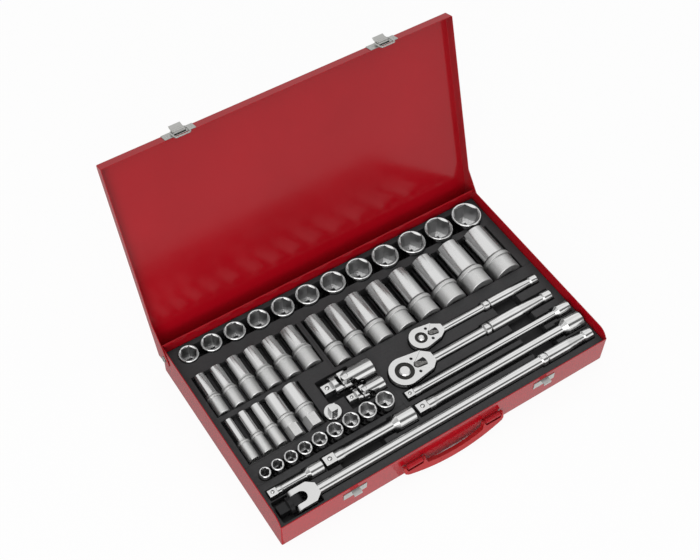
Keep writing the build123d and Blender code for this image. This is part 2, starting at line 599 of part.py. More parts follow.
# Lid, drawn shut and placed open
lid_up = Axis((0, 0, 0), opened(Plane.XY).z_dir)
slope_y = LID_BACK - EAR_LENGTH
hinge_distance = sqrt((HINGE_Y - slope_y) ** 2 + (HINGE_Z - LID_EDGE) ** 2)
slope_angle = atan2(HINGE_Z - LID_EDGE, HINGE_Y - slope_y) - asin(EAR_RADIUS / hinge_distance)
slope_length = sqrt(hinge_distance**2 - EAR_RADIUS**2)
ear_tangent = (slope_y + slope_length * cos(slope_angle), LID_EDGE + slope_length * sin(slope_angle))
ear_back = (LID_BACK, HINGE_Z - sqrt(EAR_RADIUS**2 - (LID_BACK - HINGE_Y) ** 2))
with BuildPart() as case_lid:
    with BuildSketch(opened(Plane.XY.offset(HINGE_Z - EAR_RADIUS))):
        RectangleRounded(LID_LENGTH, LID_WIDTH, FOLD_RADIUS)
    extrude(amount=LID_TOP - HINGE_Z + EAR_RADIUS)
    fillet(case_lid.faces().sort_by(lid_up)[-1].edges(), FOLD_RADIUS)
    offset(amount=-SHEET, openings=case_lid.faces().sort_by(lid_up)[0])
    with BuildSketch(opened(Plane.YZ)):
        with BuildLine():
            ear = RadiusArc(ear_back, ear_tangent, EAR_RADIUS)
            Polyline(
                ear @ 1, (slope_y, LID_EDGE), (LID_FACE, LID_EDGE), (LID_FACE, LID_TOP), (LID_BACK, LID_TOP),
                ear @ 0)
        make_face()
    extrude(amount=LID_LENGTH, both=True, mode=Mode.INTERSECT)
    with BuildSketch(opened(Plane.YZ)):
        with Locations((LID_BACK, LID_TOP - BACK_FLANGE)):
            Rectangle(2 * (SHEET + FOLD_RADIUS), LID_TOP, align=(Align.CENTER, Align.MAX))
    extrude(amount=LID_LENGTH / 2 - SHEET, both=True, mode=Mode.SUBTRACT)
    with BuildSketch(opened(Plane.YZ)):
        with Locations((HINGE_Y, HINGE_Z)):
            Circle(RIVET_RADIUS + RUNNING_GAP)
    extrude(amount=LID_LENGTH, both=True, mode=Mode.SUBTRACT)
save(case_lid, "case_lid")

# Latch plates with cheeks and lever pins
with BuildPart() as latch_plates:
    for latch_x in LATCH_SIDES.values():
        with BuildSketch(opened(side(latch_x, LID_FACE, LID_EDGE + LATCH_PLATE_INSET))):
            Rectangle(LATCH_PLATE_THICKNESS, LATCH_PLATE_HEIGHT, align=(Align.MIN, Align.MIN))
        extrude(amount=LATCH_PLATE_WIDTH / 2, both=True)
        for cheek_x in (-CHEEK_INNER - CHEEK_THICKNESS / 2, CHEEK_INNER + CHEEK_THICKNESS / 2):
            with BuildSketch(opened(side(latch_x + cheek_x, LID_FACE, LEVER_Z))):
                with Locations((LEVER_STANDOFF / 2, 0)):
                    Rectangle(LEVER_STANDOFF, 2 * CHEEK_RADIUS)
                with Locations((LEVER_STANDOFF, 0)):
                    Circle(CHEEK_RADIUS)
            extrude(amount=CHEEK_THICKNESS / 2, both=True)
        with BuildSketch(opened(side(latch_x, LEVER_Y, LEVER_Z))):
            Circle(LEVER_PIN_RADIUS)
        extrude(amount=CHEEK_INNER + CHEEK_THICKNESS / 2, both=True)
save(latch_plates, "latch_plates")

# Latch levers and wire bails
for hand, latch_x in LATCH_SIDES.items():
    with BuildPart() as lever:
        with BuildSketch(opened(side(latch_x, LEVER_Y, LEVER_Z))):
            Circle(LEVER_HUB_RADIUS)
            with Locations((0, BAIL_ARM)):
                Circle(LEVER_HUB_RADIUS)
            with BuildLine():
                Polyline(
                    (-LEVER_THICKNESS, 0), (-LEVER_THICKNESS, BAIL_ARM + LEVER_THICKNESS),
                    (LEVER_LIFT - LEVER_THICKNESS, LEVER_LENGTH - LEVER_THICKNESS / 2),
                    (LEVER_LIFT, LEVER_LENGTH),
                    (LEVER_LIFT + LEVER_THICKNESS / 2, LEVER_LENGTH - LEVER_THICKNESS),
                    (LEVER_THICKNESS, BAIL_ARM + LEVER_THICKNESS / 2), (LEVER_THICKNESS, 0), close=True)
            make_face()
            Circle(LEVER_PIN_RADIUS + RUNNING_GAP, mode=Mode.SUBTRACT)
            with Locations((0, BAIL_ARM)):
                Circle(BAIL_WIRE_RADIUS + RUNNING_GAP, mode=Mode.SUBTRACT)
        extrude(amount=LEVER_WIDTH / 2, both=True)
    save(lever, f"latch_lever_{hand}")

    wire_plane = opened(Plane((latch_x, LEVER_Y, BAIL_Z), x_dir=(1, 0, 0), z_dir=(0, -1, 0)))
    wire_grip = LEVER_WIDTH / 2 - BAIL_GRIP
    wire_drop = BAIL_Z - BAIL_BOTTOM
    with BuildPart() as bail:
        with BuildLine(wire_plane) as wire:
            FilletPolyline(
                (-wire_grip, 0), (-BAIL_HALF, 0), (-BAIL_HALF, -wire_drop), (BAIL_HALF, -wire_drop),
                (BAIL_HALF, 0), (wire_grip, 0), radius=BAIL_BEND)
        with BuildSketch(Plane(wire.line @ 0, z_dir=wire.line % 0)):
            Circle(BAIL_WIRE_RADIUS)
        sweep()
    save(bail, f"latch_bail_{hand}")

# Catches on the front wall, each with a tongue that hooks over its bail
tongue_reach = FRONT_FACE - LEVER_Y + BAIL_WIRE_RADIUS + MOVING_GAP
catch_top = TONGUE_Z + TONGUE_THICKNESS
with BuildPart() as latch_catches:
    for latch_x in LATCH_SIDES.values():
        with BuildSketch(side(latch_x, FRONT_FACE, catch_top)):
            Rectangle(CATCH_THICKNESS, CATCH_HEIGHT, align=(Align.MIN, Align.MAX))
        extrude(amount=CATCH_WIDTH / 2, both=True)
        with BuildSketch(side(latch_x, FRONT_FACE, catch_top)) as tongue:
            with BuildLine():
                Polyline(
                    (0, 0), (tongue_reach + TONGUE_THICKNESS, 0),
                    (tongue_reach + TONGUE_THICKNESS, BAIL_BOTTOM - TONGUE_LIP - catch_top),
                    (tongue_reach, BAIL_BOTTOM - TONGUE_LIP - catch_top), (tongue_reach, -TONGUE_THICKNESS),
                    (0, -TONGUE_THICKNESS), close=True)
            make_face()
            fillet(tongue.vertices().sort_by(Axis.X)[-1], TONGUE_THICKNESS / 2)
        extrude(amount=TONGUE_WIDTH / 2, both=True)
save(latch_catches, "latch_catches")

# Carrying handle, a bow whose two eyes hang on rods
handle_plane = Plane(
    (0, HANDLE_Y, HANDLE_Z), x_dir=(1, 0, 0), z_dir=(0, sin(HANDLE_TILT), -cos(HANDLE_TILT)))
eye_outer = EYE_INNER + EYE_LENGTH
web_inner = EYE_INNER - EYE_WEB
web_outer = eye_outer + EYE_WEB
with BuildPart() as carry_handle:
    with BuildSketch(handle_plane) as bow:
        with BuildLine():
            Polyline(
                (0, HANDLE_DEPTH), (web_inner - EYE_DEPTH, HANDLE_DEPTH), (web_inner, EYE_DEPTH),
                (web_inner, -EYE_ROD_RADIUS), (EYE_INNER, -EYE_ROD_RADIUS), (EYE_INNER, EYE_DEPTH),
                (eye_outer, EYE_DEPTH), (eye_outer, -EYE_ROD_RADIUS), (web_outer, -EYE_ROD_RADIUS),
                (web_outer, HANDLE_SHOULDER), (HANDLE_FLAT, HANDLE_REACH), (0, HANDLE_REACH))
            mirror(about=Plane.YZ)
        make_face()
        bow_tips = bow.vertices().group_by(Axis.Y)[-1]
        fillet(bow_tips.sort_by(Axis.X)[0] + bow_tips.sort_by(Axis.X)[-1], HANDLE_BEND)
        fillet(bow.vertices().filter_by(lambda v: abs(v.Y - HANDLE_SHOULDER) < SHEET), HANDLE_CORNER)
    extrude(amount=HANDLE_THICKNESS / 2, both=True)
    handle_normal = Axis(handle_plane.origin, handle_plane.z_dir)
    fillet(carry_handle.faces().sort_by(handle_normal)[0].edges(), HANDLE_ROUNDING)
    fillet(carry_handle.faces().sort_by(handle_normal)[-1].edges(), HANDLE_ROUNDING)
    for eye_side in (-1, 1):
        rod_plane = Plane(handle_plane.origin, x_dir=(eye_side, 0, 0), z_dir=(0, 0, 1))
        rod_ends = (EYE_INNER - EYE_WEB / 2, eye_outer + EYE_WEB / 2)
        turn(rod_plane, [(end, EYE_ROD_RADIUS) for end in rod_ends])
save(carry_handle, "carry_handle")

# Handle brackets, straps folded round the rods
with BuildPart() as handle_brackets:
    for eye_x in (-EYE_INNER - EYE_LENGTH / 2, EYE_INNER + EYE_LENGTH / 2):
        with BuildSketch(side(eye_x, HANDLE_Y, HANDLE_Z)):
            with Locations((-STRAP_STANDOFF + STRAP_PLATE_THICKNESS / 2, 0)):
                Rectangle(STRAP_PLATE_THICKNESS, STRAP_PLATE_HEIGHT)
            Circle(EYE_ROD_RADIUS + MOVING_GAP + STRAP_THICKNESS)
            Circle(EYE_ROD_RADIUS + MOVING_GAP, mode=Mode.SUBTRACT)
        extrude(amount=EYE_LENGTH / 2 - STRAP_END_GAP, both=True)
save(handle_brackets, "handle_brackets")

# Large-drive shallow sockets
for flats, radius, height, (x, y) in zip(
        SHALLOW_LARGE, SHALLOW_LARGE_RADII, SHALLOW_LARGE_HEIGHTS, SHALLOW_LARGE_PLACES):
    with BuildPart() as socket:
        make_socket(
            upright(x, y, SHALLOW_LARGE_SEAT + height), flats, shallow_outline(radius, height), LARGE_DRIVE,
            LARGE_DRIVE_DEPTH)
    save(socket, f"shallow_socket_{flats}")

# Large-drive deep sockets
for flats, radius, x in zip(DEEP_LARGE, DEEP_LARGE_RADII, DEEP_LARGE_X):
    with BuildPart() as socket:
        make_socket(
            forward(DEEP_LARGE_LEFT + x, BACK - DEEP_BACK, DEEP_LARGE_AXIS), flats,
            deep_outline(radius, radius, DEEP_LARGE_LENGTH, DEEP_LARGE_DRIVE_END, LARGE_RING), LARGE_DRIVE,
            LARGE_DRIVE_DEPTH)
    save(socket, f"deep_socket_{flats}")

# Small-drive deep and spark-plug sockets, one node
with BuildPart() as small_deep_sockets:
    for flats, radius, x in zip(DEEP_SMALL, DEEP_SMALL_RADII, DEEP_SMALL_X):
        make_socket(
            forward(LEFT + SOCKET_EDGE + x, BACK - DEEP_BACK, DEEP_SMALL_AXIS), flats,
            deep_outline(radius, radius, DEEP_SMALL_LENGTH, DEEP_SMALL_DRIVE_END, SMALL_RING), SMALL_DRIVE,
            SMALL_DRIVE_DEPTH)
    for flats, radius, x in zip(SLIM_SMALL, SLIM_RADII, SLIM_X):
        make_socket(
            forward(LEFT + SOCKET_EDGE + x, BACK - SLIM_BACK, DEEP_SMALL_AXIS), flats,
            deep_outline(
                radius, max(radius, SLIM_DRIVE_RADIUS), DEEP_SMALL_LENGTH, DEEP_SMALL_DRIVE_END, SMALL_RING),
            SMALL_DRIVE, SMALL_DRIVE_DEPTH)
    for flats, radius, x in zip(PLUG_SMALL, PLUG_RADII, SLIM_X[len(SLIM_SMALL):]):
        plug_plane = forward(LEFT + SOCKET_EDGE + x, BACK - SLIM_BACK, DEEP_SMALL_AXIS)
        barrel = PLUG_LENGTH - PLUG_HEX_LENGTH
        turn(plug_plane, deep_outline(radius + MOUTH_STEP, radius, barrel, PLUG_NECK, SMALL_RING))
        with BuildSketch(across(plug_plane, barrel)) as plug_end:
            RegularPolygon(radius, 6)
        extrude(plug_end.sketch, amount=PLUG_HEX_LENGTH)
        hex_hole(plug_plane, flats, PLUG_LENGTH - SMALL_DRIVE_DEPTH)
        square_hole(plug_plane, PLUG_LENGTH - SMALL_DRIVE_DEPTH, SMALL_DRIVE, SMALL_DRIVE_DEPTH)
save(small_deep_sockets, "small_deep_sockets")

# Small-drive shallow sockets, one node
with BuildPart() as small_shallow_sockets:
    for flats, radius, height, (x, y) in zip(
            SHALLOW_SMALL, SHALLOW_SMALL_RADII, SHALLOW_SMALL_HEIGHTS, SHALLOW_SMALL_PLACES):
        make_socket(
            upright(x, y, SHALLOW_SMALL_FLOOR + height), flats, shallow_outline(radius, height), SMALL_DRIVE,
            SMALL_DRIVE_DEPTH)
save(small_shallow_sockets, "small_shallow_sockets")

# Extension bars: name, sizes, length, left end, line
EXTENSIONS = (
    ("small_extension", SMALL_BAR, LARGE_EXTENSION, LONG_BAR_START, SMALL_BAR_LINE),
    ("long_extension", LARGE_BAR, LARGE_EXTENSION, LONG_BAR_START, LARGE_BAR_LINE),
    ("medium_extension", LARGE_BAR, MEDIUM_EXTENSION, MEDIUM_BAR_START, LARGE_BAR_LINE),
    ("short_extension", SHORT_BAR, SHORT_EXTENSION, SHORT_BAR_START, LARGE_BAR_LINE))
for name, bar, length, start, line in EXTENSIONS:
    bar_plane = along(start, BACK - line, BAR_AXIS)
    with BuildPart() as extension:
        turn(bar_plane, [
            (bar.tip, bar.collar_radius), (bar.tip + bar.collar, bar.collar_radius),
            (bar.tip + 2 * bar.collar, bar.bar_radius), (length - bar.end_length - bar.cone, bar.bar_radius),
            (length - bar.end_length, bar.end_radius), (length - MOUTH_CHAMFER, bar.end_radius),
            (length, bar.end_radius - MOUTH_CHAMFER)])
        square_tip(bar_plane, 0, bar.drive, bar.tip)
        square_hole(bar_plane, length - bar.depth, bar.drive, bar.depth)
    save(extension, name)

# Drive adapter, standing on its recess
adapter_plane = upright(*ADAPTER_PLACE, ADAPTER_TOP)
adapter_height = ADAPTER_TANG + ADAPTER_BODY
with BuildPart() as drive_adapter:
    turn(adapter_plane, [
        (ADAPTER_TANG, ADAPTER_RADIUS - WAIST_STEP), (ADAPTER_TANG + WAIST_STEP, ADAPTER_RADIUS),
        (adapter_height - MOUTH_CHAMFER, ADAPTER_RADIUS), (adapter_height, ADAPTER_RADIUS - MOUTH_CHAMFER)])
    square_tip(adapter_plane, 0, SMALL_DRIVE, ADAPTER_TANG)
    square_hole(adapter_plane, adapter_height - LARGE_DRIVE_DEPTH, LARGE_DRIVE, LARGE_DRIVE_DEPTH)
save(drive_adapter, "drive_adapter")

# Ratchets
def head_shape(plane, r, grow):
    """Teardrop head in plan: round nose, two corners, narrowing to the neck."""
    radius = r.head_radius + grow
    corner = (r.corner_x + grow, r.corner_y + grow)
    reach = sqrt(corner[0] ** 2 + corner[1] ** 2)
    touch = atan2(corner[1], corner[0]) + acos(radius / reach)
    half = [(radius * cos(touch), radius * sin(touch)), corner, (r.neck_x + grow, r.neck_radius + grow)]
    with BuildSketch(plane) as shape:
        Circle(radius)
        with BuildLine():
            Polyline(*half, *[(x, -y) for x, y in reversed(half)], close=True)
        make_face()
    return shape.sketch


def selector_at(r):
    """Distance from the gear's centre to the selector's and the pawl's pivot."""
    return r.gear_radius + PAWL_GAP + r.pawl_depth / 2


def handle_outline(r):
    """Handle from the head to the end: neck, shaft, grip."""
    end = r.length - r.head_radius
    neck = [
        (r.corner_x, r.neck_radius), (r.neck_x, r.neck_radius), (r.neck_x + NECK_TAPER, r.shaft_radius)]
    return neck + grip_outline(
        end - r.grip_length, end, r.shaft_radius, r.grip_radius, r.waist_radius, r.knob_radius, r.knob_length)


def make_ratchet(r, x, y):
    """Body, cover, gear with square, button, selector and pawl of one ratchet, head centre at x, y."""
    deck = r.head_top - r.cover
    floor = r.head_bottom + HEAD_FLOOR
    gear_bottom = floor + MOVING_GAP
    gear_top = deck - MOVING_GAP
    pivot = selector_at(r)
    ring_top = r.head_top - RING_RECESS

    with BuildPart() as body:
        extrude(head_shape(along(x, y, r.head_bottom), r, 0), amount=deck - r.head_bottom)
        turn(along(x, y, r.axis), handle_outline(r))
        with BuildSketch(along(x, y, floor)):
            Circle(r.gear_radius + MOVING_GAP)
            with Locations((r.gear_radius + PAWL_GAP + r.pawl_depth / 2, 0)):
                Rectangle(r.pawl_depth + 2 * RECESS_MARGIN, 2 * (r.pawl_reach + RECESS_MARGIN))
        extrude(amount=deck - floor, mode=Mode.SUBTRACT)
        with BuildSketch(along(x, y, r.head_bottom)):
            Circle(r.hub_radius + HUB_GAP)
        extrude(amount=HEAD_FLOOR, mode=Mode.SUBTRACT)
        with BuildSketch(along(x + pivot, y, floor)):
            Circle(PAWL_PIN)
        extrude(amount=PAWL_PIN_LENGTH)
    save(body, f"{r.name}_body")

    with BuildPart() as cover:
        extrude(head_shape(along(x, y, deck), r, 0), amount=r.cover)
        with BuildSketch(along(x, y, deck)):
            Circle(r.ring_radius)
            with Locations((pivot, 0)):
                Circle(SELECTOR_SHAFT + HUB_GAP)
        extrude(amount=r.cover, mode=Mode.SUBTRACT)
        recess_radius = r.selector_radius + RECESS_MARGIN
        recess_end = r.neck_x - pivot + RECESS_MARGIN
        with BuildSketch(along(x + pivot, y, r.head_top)):
            Circle(recess_radius)
            with BuildLine():
                Polyline(
                    (0, recess_radius), (r.corner_x - pivot, r.corner_y), (recess_end, r.corner_y),
                    (recess_end, -r.corner_y), (r.corner_x - pivot, -r.corner_y), (0, -recess_radius),
                    close=True)
            make_face()
        extrude(amount=-SELECTOR_RECESS, mode=Mode.SUBTRACT)
        with BuildSketch(along(x + r.screw_x, y, r.head_top)):
            with Locations((0, r.screw_y), (0, -r.screw_y)):
                Circle(SCREW_RADIUS)
        extrude(amount=-SCREW_DEPTH, mode=Mode.SUBTRACT)
    save(cover, f"{r.name}_cover")

    gear_plane = along(x, y, gear_bottom)
    tooth_turn = pi / r.teeth
    well_floor = r.head_top + BUTTON_RISE - BUTTON_HEIGHT - BUTTON_TRAVEL - MOVING_GAP
    with BuildPart() as gear:
        with BuildSketch(gear_plane):
            with BuildLine():
                Polyline(*[
                    (radius * cos(i * tooth_turn), radius * sin(i * tooth_turn))
                    for i, radius in enumerate([r.gear_radius, r.gear_radius - r.tooth] * r.teeth)],
                    close=True)
            make_face()
        extrude(amount=gear_top - gear_bottom)
        with BuildSketch(along(x, y, gear_top)):
            Circle(r.ring_radius - MOVING_GAP)
        extrude(amount=ring_top - gear_top)
        with BuildSketch(along(x, y, gear_bottom)):
            Circle(r.hub_radius)
        extrude(amount=r.head_bottom - HUB_STEP - gear_bottom)
        square_tip(upright(x, y, r.head_bottom - HUB_STEP), 0, r.drive, r.square_length)
        with BuildSketch(along(x, y, well_floor)):
            Circle(r.button_radius + HUB_GAP)
        extrude(amount=BUTTON_HEIGHT + BUTTON_TRAVEL + MOVING_GAP, mode=Mode.SUBTRACT)
        with BuildSketch(along(x, y, r.head_bottom - r.square_length)):
            Circle(BUTTON_STEM + HUB_GAP)
        extrude(amount=r.head_top - r.head_bottom + r.square_length, mode=Mode.SUBTRACT)
    save(gear, f"{r.name}_gear")

    with BuildPart() as button:
        turn(upright(x, y, r.head_top + BUTTON_RISE), [
            (0, r.button_radius - BUTTON_RISE), (BUTTON_RISE, r.button_radius),
            (BUTTON_HEIGHT, r.button_radius), (BUTTON_HEIGHT, BUTTON_STEM),
            (r.head_top + BUTTON_RISE - r.head_bottom + r.square_length / 2, BUTTON_STEM)])
    save(button, f"{r.name}_button")

    selector_plane = turned(along(x + pivot, y, r.head_top - SELECTOR_RECESS + MOVING_GAP), -SELECTOR_REST)
    with BuildPart() as selector:
        with BuildSketch(selector_plane):
            Circle(r.selector_radius)
            with BuildLine():
                Polyline(
                    (0, r.selector_radius), (r.selector_length - SELECTOR_TAIL, SELECTOR_TAIL),
                    (r.selector_length, SELECTOR_TAIL), (r.selector_length, -SELECTOR_TAIL),
                    (r.selector_length - SELECTOR_TAIL, -SELECTOR_TAIL), (0, -r.selector_radius), close=True)
            make_face()
        extrude(amount=SELECTOR_RECESS - MOVING_GAP + SELECTOR_RISE)
        fillet(selector.faces().sort_by(Axis.Z)[-1].edges(), SELECTOR_RISE)
        with BuildSketch(selector_plane):
            Circle(SELECTOR_SHAFT)
        extrude(amount=SELECTOR_RECESS - MOVING_GAP - r.cover)
    save(selector, f"{r.name}_selector")

    pawl_plane = turned(along(x + pivot, y, gear_bottom), -PAWL_ROCK)
    face_radius = r.gear_radius + PAWL_GAP
    pitch = 360 / r.teeth
    first_notch = -pitch * (PAWL_NOTCHES - 1) / 2
    with BuildPart() as pawl:
        with BuildSketch(pawl_plane):
            Rectangle(r.pawl_depth, 2 * r.pawl_reach)
            with Locations((-pivot, 0)):
                Circle(face_radius, mode=Mode.SUBTRACT)
            Circle(PAWL_PIN + HUB_GAP, mode=Mode.SUBTRACT)
            with Locations((-pivot, 0)):
                with PolarLocations(face_radius, PAWL_NOTCHES, first_notch, pitch * PAWL_NOTCHES):
                    Rectangle(r.tooth, r.tooth, rotation=45, mode=Mode.SUBTRACT)
        extrude(amount=gear_top - gear_bottom - MOVING_GAP)
    save(pawl, f"{r.name}_pawl")


make_ratchet(LARGE_RATCHET, *LARGE_HEAD)
make_ratchet(SMALL_RATCHET, *SMALL_HEAD)


# Universal joints
def make_yoke(u, plane, pin_normal, end):
    """Round yoke, drawn from the cross's centre along the plane's x axis, its arms apart along pin_normal."""
    view = Plane(plane.origin, x_dir=plane.x_dir, z_dir=pin_normal)
    gap_view = Plane(plane.origin, x_dir=plane.x_dir, z_dir=view.y_dir)
    turn(plane, [(-u.arm_half, u.radius), (end - MOUTH_CHAMFER, u.radius), (end, u.radius - MOUTH_CHAMFER)])
    half = [(0, u.arm_half), (u.arm_half, u.arm_half), (u.slot + MOUTH_CHAMFER, u.radius), (end, u.radius)]
    with BuildSketch(view) as arms:
        Circle(u.arm_half)
        with BuildLine():
            Polyline(*half, *[(at, -out) for at, out in reversed(half)], close=True)
        make_face()
    extrude(arms.sketch, amount=u.radius, both=True, mode=Mode.INTERSECT)
    with BuildSketch(gap_view) as slot:
        Rectangle(2 * u.slot, 2 * u.arm_gap)
    extrude(slot.sketch, amount=u.radius, both=True, mode=Mode.SUBTRACT)
    with BuildSketch(view) as pin_hole:
        Circle(u.pin_radius + RUNNING_GAP)
    extrude(pin_hole.sketch, amount=u.radius, both=True, mode=Mode.SUBTRACT)


def make_universal(u, x, y):
    """Socket yoke to the right, cross, drive yoke to the left; cross centre at x, y."""
    right = along(x, y, UNIVERSAL_AXIS)
    left = Plane(right.origin, x_dir=(-1, 0, 0), z_dir=(0, 0, 1))
    with BuildPart() as socket_yoke:
        make_yoke(u, right, (0, 0, 1), u.cross_at)
        square_hole(right, u.cross_at - u.depth, u.drive, u.depth)
    save(socket_yoke, f"{u.name}_socket_yoke")

    body_end = u.slot + u.shoulder
    with BuildPart() as drive_yoke:
        make_yoke(u, left, (0, 1, 0), body_end)
        square_tip(left, body_end, u.drive, u.square)
    save(drive_yoke, f"{u.name}_drive_yoke")

    block = 2 * (u.arm_gap - CROSS_GAP)
    with BuildPart() as cross:
        with BuildSketch(right):
            Rectangle(block, block)
        extrude(amount=block / 2, both=True)
        for normal in ((0, 0, 1), (0, 1, 0)):
            with BuildSketch(Plane(right.origin, x_dir=(1, 0, 0), z_dir=normal)):
                Circle(u.pin_radius)
            extrude(amount=u.radius - MOUTH_CHAMFER, both=True)
    save(cross, f"{u.name}_cross")


make_universal(LARGE_UNIVERSAL, *LARGE_CROSS)
make_universal(SMALL_UNIVERSAL, *SMALL_CROSS)

# Hinged-head bar
breaker_plane = along(BREAKER_START, BREAKER_Y, BAR_AXIS)
breaker_side = Plane(breaker_plane.origin, x_dir=(1, 0, 0), z_dir=(0, -1, 0))
shoulder_end = BREAKER_SQUARE + BREAKER_SHOULDER
arm_radius = FORK_ARM_HEIGHT / 2
arm_tip = BREAKER_PIN_AT - arm_radius
gap_end = arm_tip + FORK_ARM_LENGTH
fork_end = gap_end + FORK_WEB
grip_start = BREAKER_LENGTH - BREAKER_GRIP
with BuildPart() as breaker_bar:
    with BuildSketch(breaker_plane):
        with BuildLine():
            Polyline(
                (arm_tip, FORK_HALF), (fork_end, FORK_HALF), (fork_end + FORK_TAPER, BREAKER_BAR_RADIUS),
                (fork_end + FORK_TAPER, -BREAKER_BAR_RADIUS), (fork_end, -FORK_HALF), (arm_tip, -FORK_HALF),
                close=True)
        make_face()
        with Locations((gap_end - FORK_GAP_HALF, 0)):
            Circle(FORK_GAP_HALF, mode=Mode.SUBTRACT)
            Rectangle(
                FORK_ARM_LENGTH, 2 * FORK_GAP_HALF, align=(Align.MAX, Align.CENTER), mode=Mode.SUBTRACT)
    extrude(amount=arm_radius, both=True)
    with BuildSketch(breaker_side):
        with Locations((BREAKER_PIN_AT, 0)):
            Circle(arm_radius)
            Rectangle(BREAKER_LENGTH, FORK_ARM_HEIGHT, align=(Align.MIN, Align.CENTER))
    extrude(amount=FORK_HALF, both=True, mode=Mode.INTERSECT)
    turn(breaker_plane, [(fork_end, BREAKER_BAR_RADIUS)] + grip_outline(
        grip_start, BREAKER_LENGTH, BREAKER_BAR_RADIUS, BREAKER_GRIP_RADIUS, BREAKER_WAIST_RADIUS,
        BREAKER_KNOB_RADIUS, BREAKER_KNOB))
    with BuildSketch(breaker_side):
        with Locations((BREAKER_PIN_AT, 0)):
            Circle(FORK_PIN_RADIUS + RUNNING_GAP)
    extrude(amount=FORK_HALF, both=True, mode=Mode.SUBTRACT)
save(breaker_bar, "breaker_bar")

with BuildPart() as breaker_head:
    turn(breaker_plane, [
        (BREAKER_SQUARE, BREAKER_SHOULDER_RADIUS - MOUTH_CHAMFER),
        (BREAKER_SQUARE + MOUTH_CHAMFER, BREAKER_SHOULDER_RADIUS), (shoulder_end, BREAKER_SHOULDER_RADIUS)])
    square_tip(breaker_plane, 0, LARGE_DRIVE, BREAKER_SQUARE)
    with BuildSketch(breaker_side):
        with Locations((BREAKER_PIN_AT, 0)):
            Circle(arm_radius)
            Rectangle(
                BREAKER_PIN_AT - shoulder_end, FORK_ARM_HEIGHT, align=(Align.MAX, Align.CENTER))
            Circle(FORK_PIN_RADIUS + RUNNING_GAP, mode=Mode.SUBTRACT)
    extrude(amount=FORK_GAP_HALF - TONGUE_GAP, both=True)
save(breaker_head, "breaker_head")

with BuildPart() as breaker_pin:
    with BuildSketch(breaker_side):
        with Locations((BREAKER_PIN_AT, 0)):
            Circle(FORK_PIN_RADIUS)
    extrude(amount=FORK_HALF - MOVING_GAP, both=True)
save(breaker_pin, "breaker_pin")


# Moulded tray
def standing_room(x, y, radius, seat):
    """Room round a standing piece, up past the tray's top."""
    with BuildPart() as room:
        with BuildSketch(along(x, y, seat - SEAT)):
            Circle(radius + WELL_GAP)
        extrude(amount=BED_RISE + TRAY_TOP - seat)
    return room.part


def lying_room(plane, lengths):
    """Half-round room under a lying piece, with straight sides up past the tray's top.

    Each length is its start, its end and the piece's radius there."""
    raised = plane.offset(BED_GAP - SEAT)
    with BuildPart() as room:
        for start, end, radius in lengths:
            turn(raised, [(start - BED_GAP, radius + BED_GAP), (end + BED_GAP, radius + BED_GAP)])
            with BuildSketch(raised) as plan:
                with Locations(((start + end) / 2, 0)):
                    Rectangle(end - start + 2 * BED_GAP, 2 * (radius + BED_GAP))
            extrude(plan.sketch, amount=BED_RISE)
    return room.part


def flat_room(left, right, front, back, floor, corner):
    """Flat-floored room with round corners, up past the tray's top."""
    with BuildPart() as room:
        with BuildSketch(Plane.XY.offset(floor)):
            with Locations(((left + right) / 2, (front + back) / 2)):
                RectangleRounded(right - left, back - front, corner)
        extrude(amount=BED_RISE + TRAY_TOP - floor)
    return room.part


def standing_trough(places, radii, seat, front_halves):
    """Long room round a row of standing sockets, with a round well under each."""
    back_edge = [(x, y + WELL_SHARE * radius) for (x, y), radius in zip(places, radii)]
    front_edge = [(x, y - half) for (x, y), half in zip(places, front_halves)]
    with BuildPart() as trough:
        with BuildSketch(Plane.XY.offset(seat + WELL_DEPTH)) as plan:
            with BuildLine():
                Polyline(*back_edge, *front_edge[::-1], close=True)
            make_face()
        extrude(plan.sketch, amount=BED_RISE + TRAY_TOP - seat)
    return [trough.part] + [standing_room(x, y, radius, seat) for (x, y), radius in zip(places, radii)]


def lying_trough(left, line, axis, sockets):
    """Long room round a row of lying sockets, with a half-round bed under each.

    Each socket is its distance from the row's left end, its radius and its length."""
    (first_x, first_radius, _), (last_x, last_radius, _) = sockets[0], sockets[-1]
    left_edge = first_x - first_radius - BED_GAP
    right_edge = last_x + last_radius + BED_GAP
    top = TRAY_TOP + BED_RISE
    length = max(length for _, _, length in sockets)
    end_view = Plane((left, BACK - line + BED_GAP, 0), x_dir=(1, 0, 0), z_dir=(0, -1, 0))
    with BuildPart() as trough:
        with BuildSketch(end_view) as profile:
            with BuildLine():
                Polyline(
                    (left_edge, axis - BED_SHARE * first_radius),
                    (right_edge, axis - BED_SHARE * last_radius),
                    (right_edge, top), (left_edge, top), close=True)
            make_face()
        extrude(profile.sketch, amount=length + 2 * BED_GAP)
    return [trough.part] + [
        lying_room(forward(left + x, BACK - line, axis), [(0, length, radius)])
        for x, radius, length in sockets]


def ratchet_rooms(r, x, y):
    """Rooms for a ratchet's handle, head and drive square."""
    end = r.length - r.head_radius
    grip = end - r.grip_length
    handle = lying_room(
        along(x, y, r.axis), [(r.neck_x, grip, r.neck_radius), (grip - KNOB_STEP, end, r.grip_radius)])
    with BuildPart() as head:
        extrude(head_shape(along(x, y, r.head_bottom - SEAT), r, BED_GAP), amount=BED_RISE)
    square_end = r.head_bottom - HUB_STEP - r.square_length
    return [handle, head.part, standing_room(x, y, max(r.drive, r.hub_radius), square_end)]


def universal_rooms(u, x, y):
    """Rooms under a universal joint, wide at its drive yoke so that the yoke can swing."""
    swing = radians(UNIVERSAL_SWING)
    half = (u.slot + u.shoulder) * sin(swing) + u.radius * cos(swing) + BED_GAP
    drive_end = x - universal_drive_length(u) - BED_GAP
    return [
        lying_room(along(x, y, UNIVERSAL_AXIS), [(0, u.cross_at, u.radius)]),
        flat_room(
            drive_end, x + u.slot, y - half, y + half, UNIVERSAL_AXIS - u.radius - SEAT, POCKET_CORNER)]


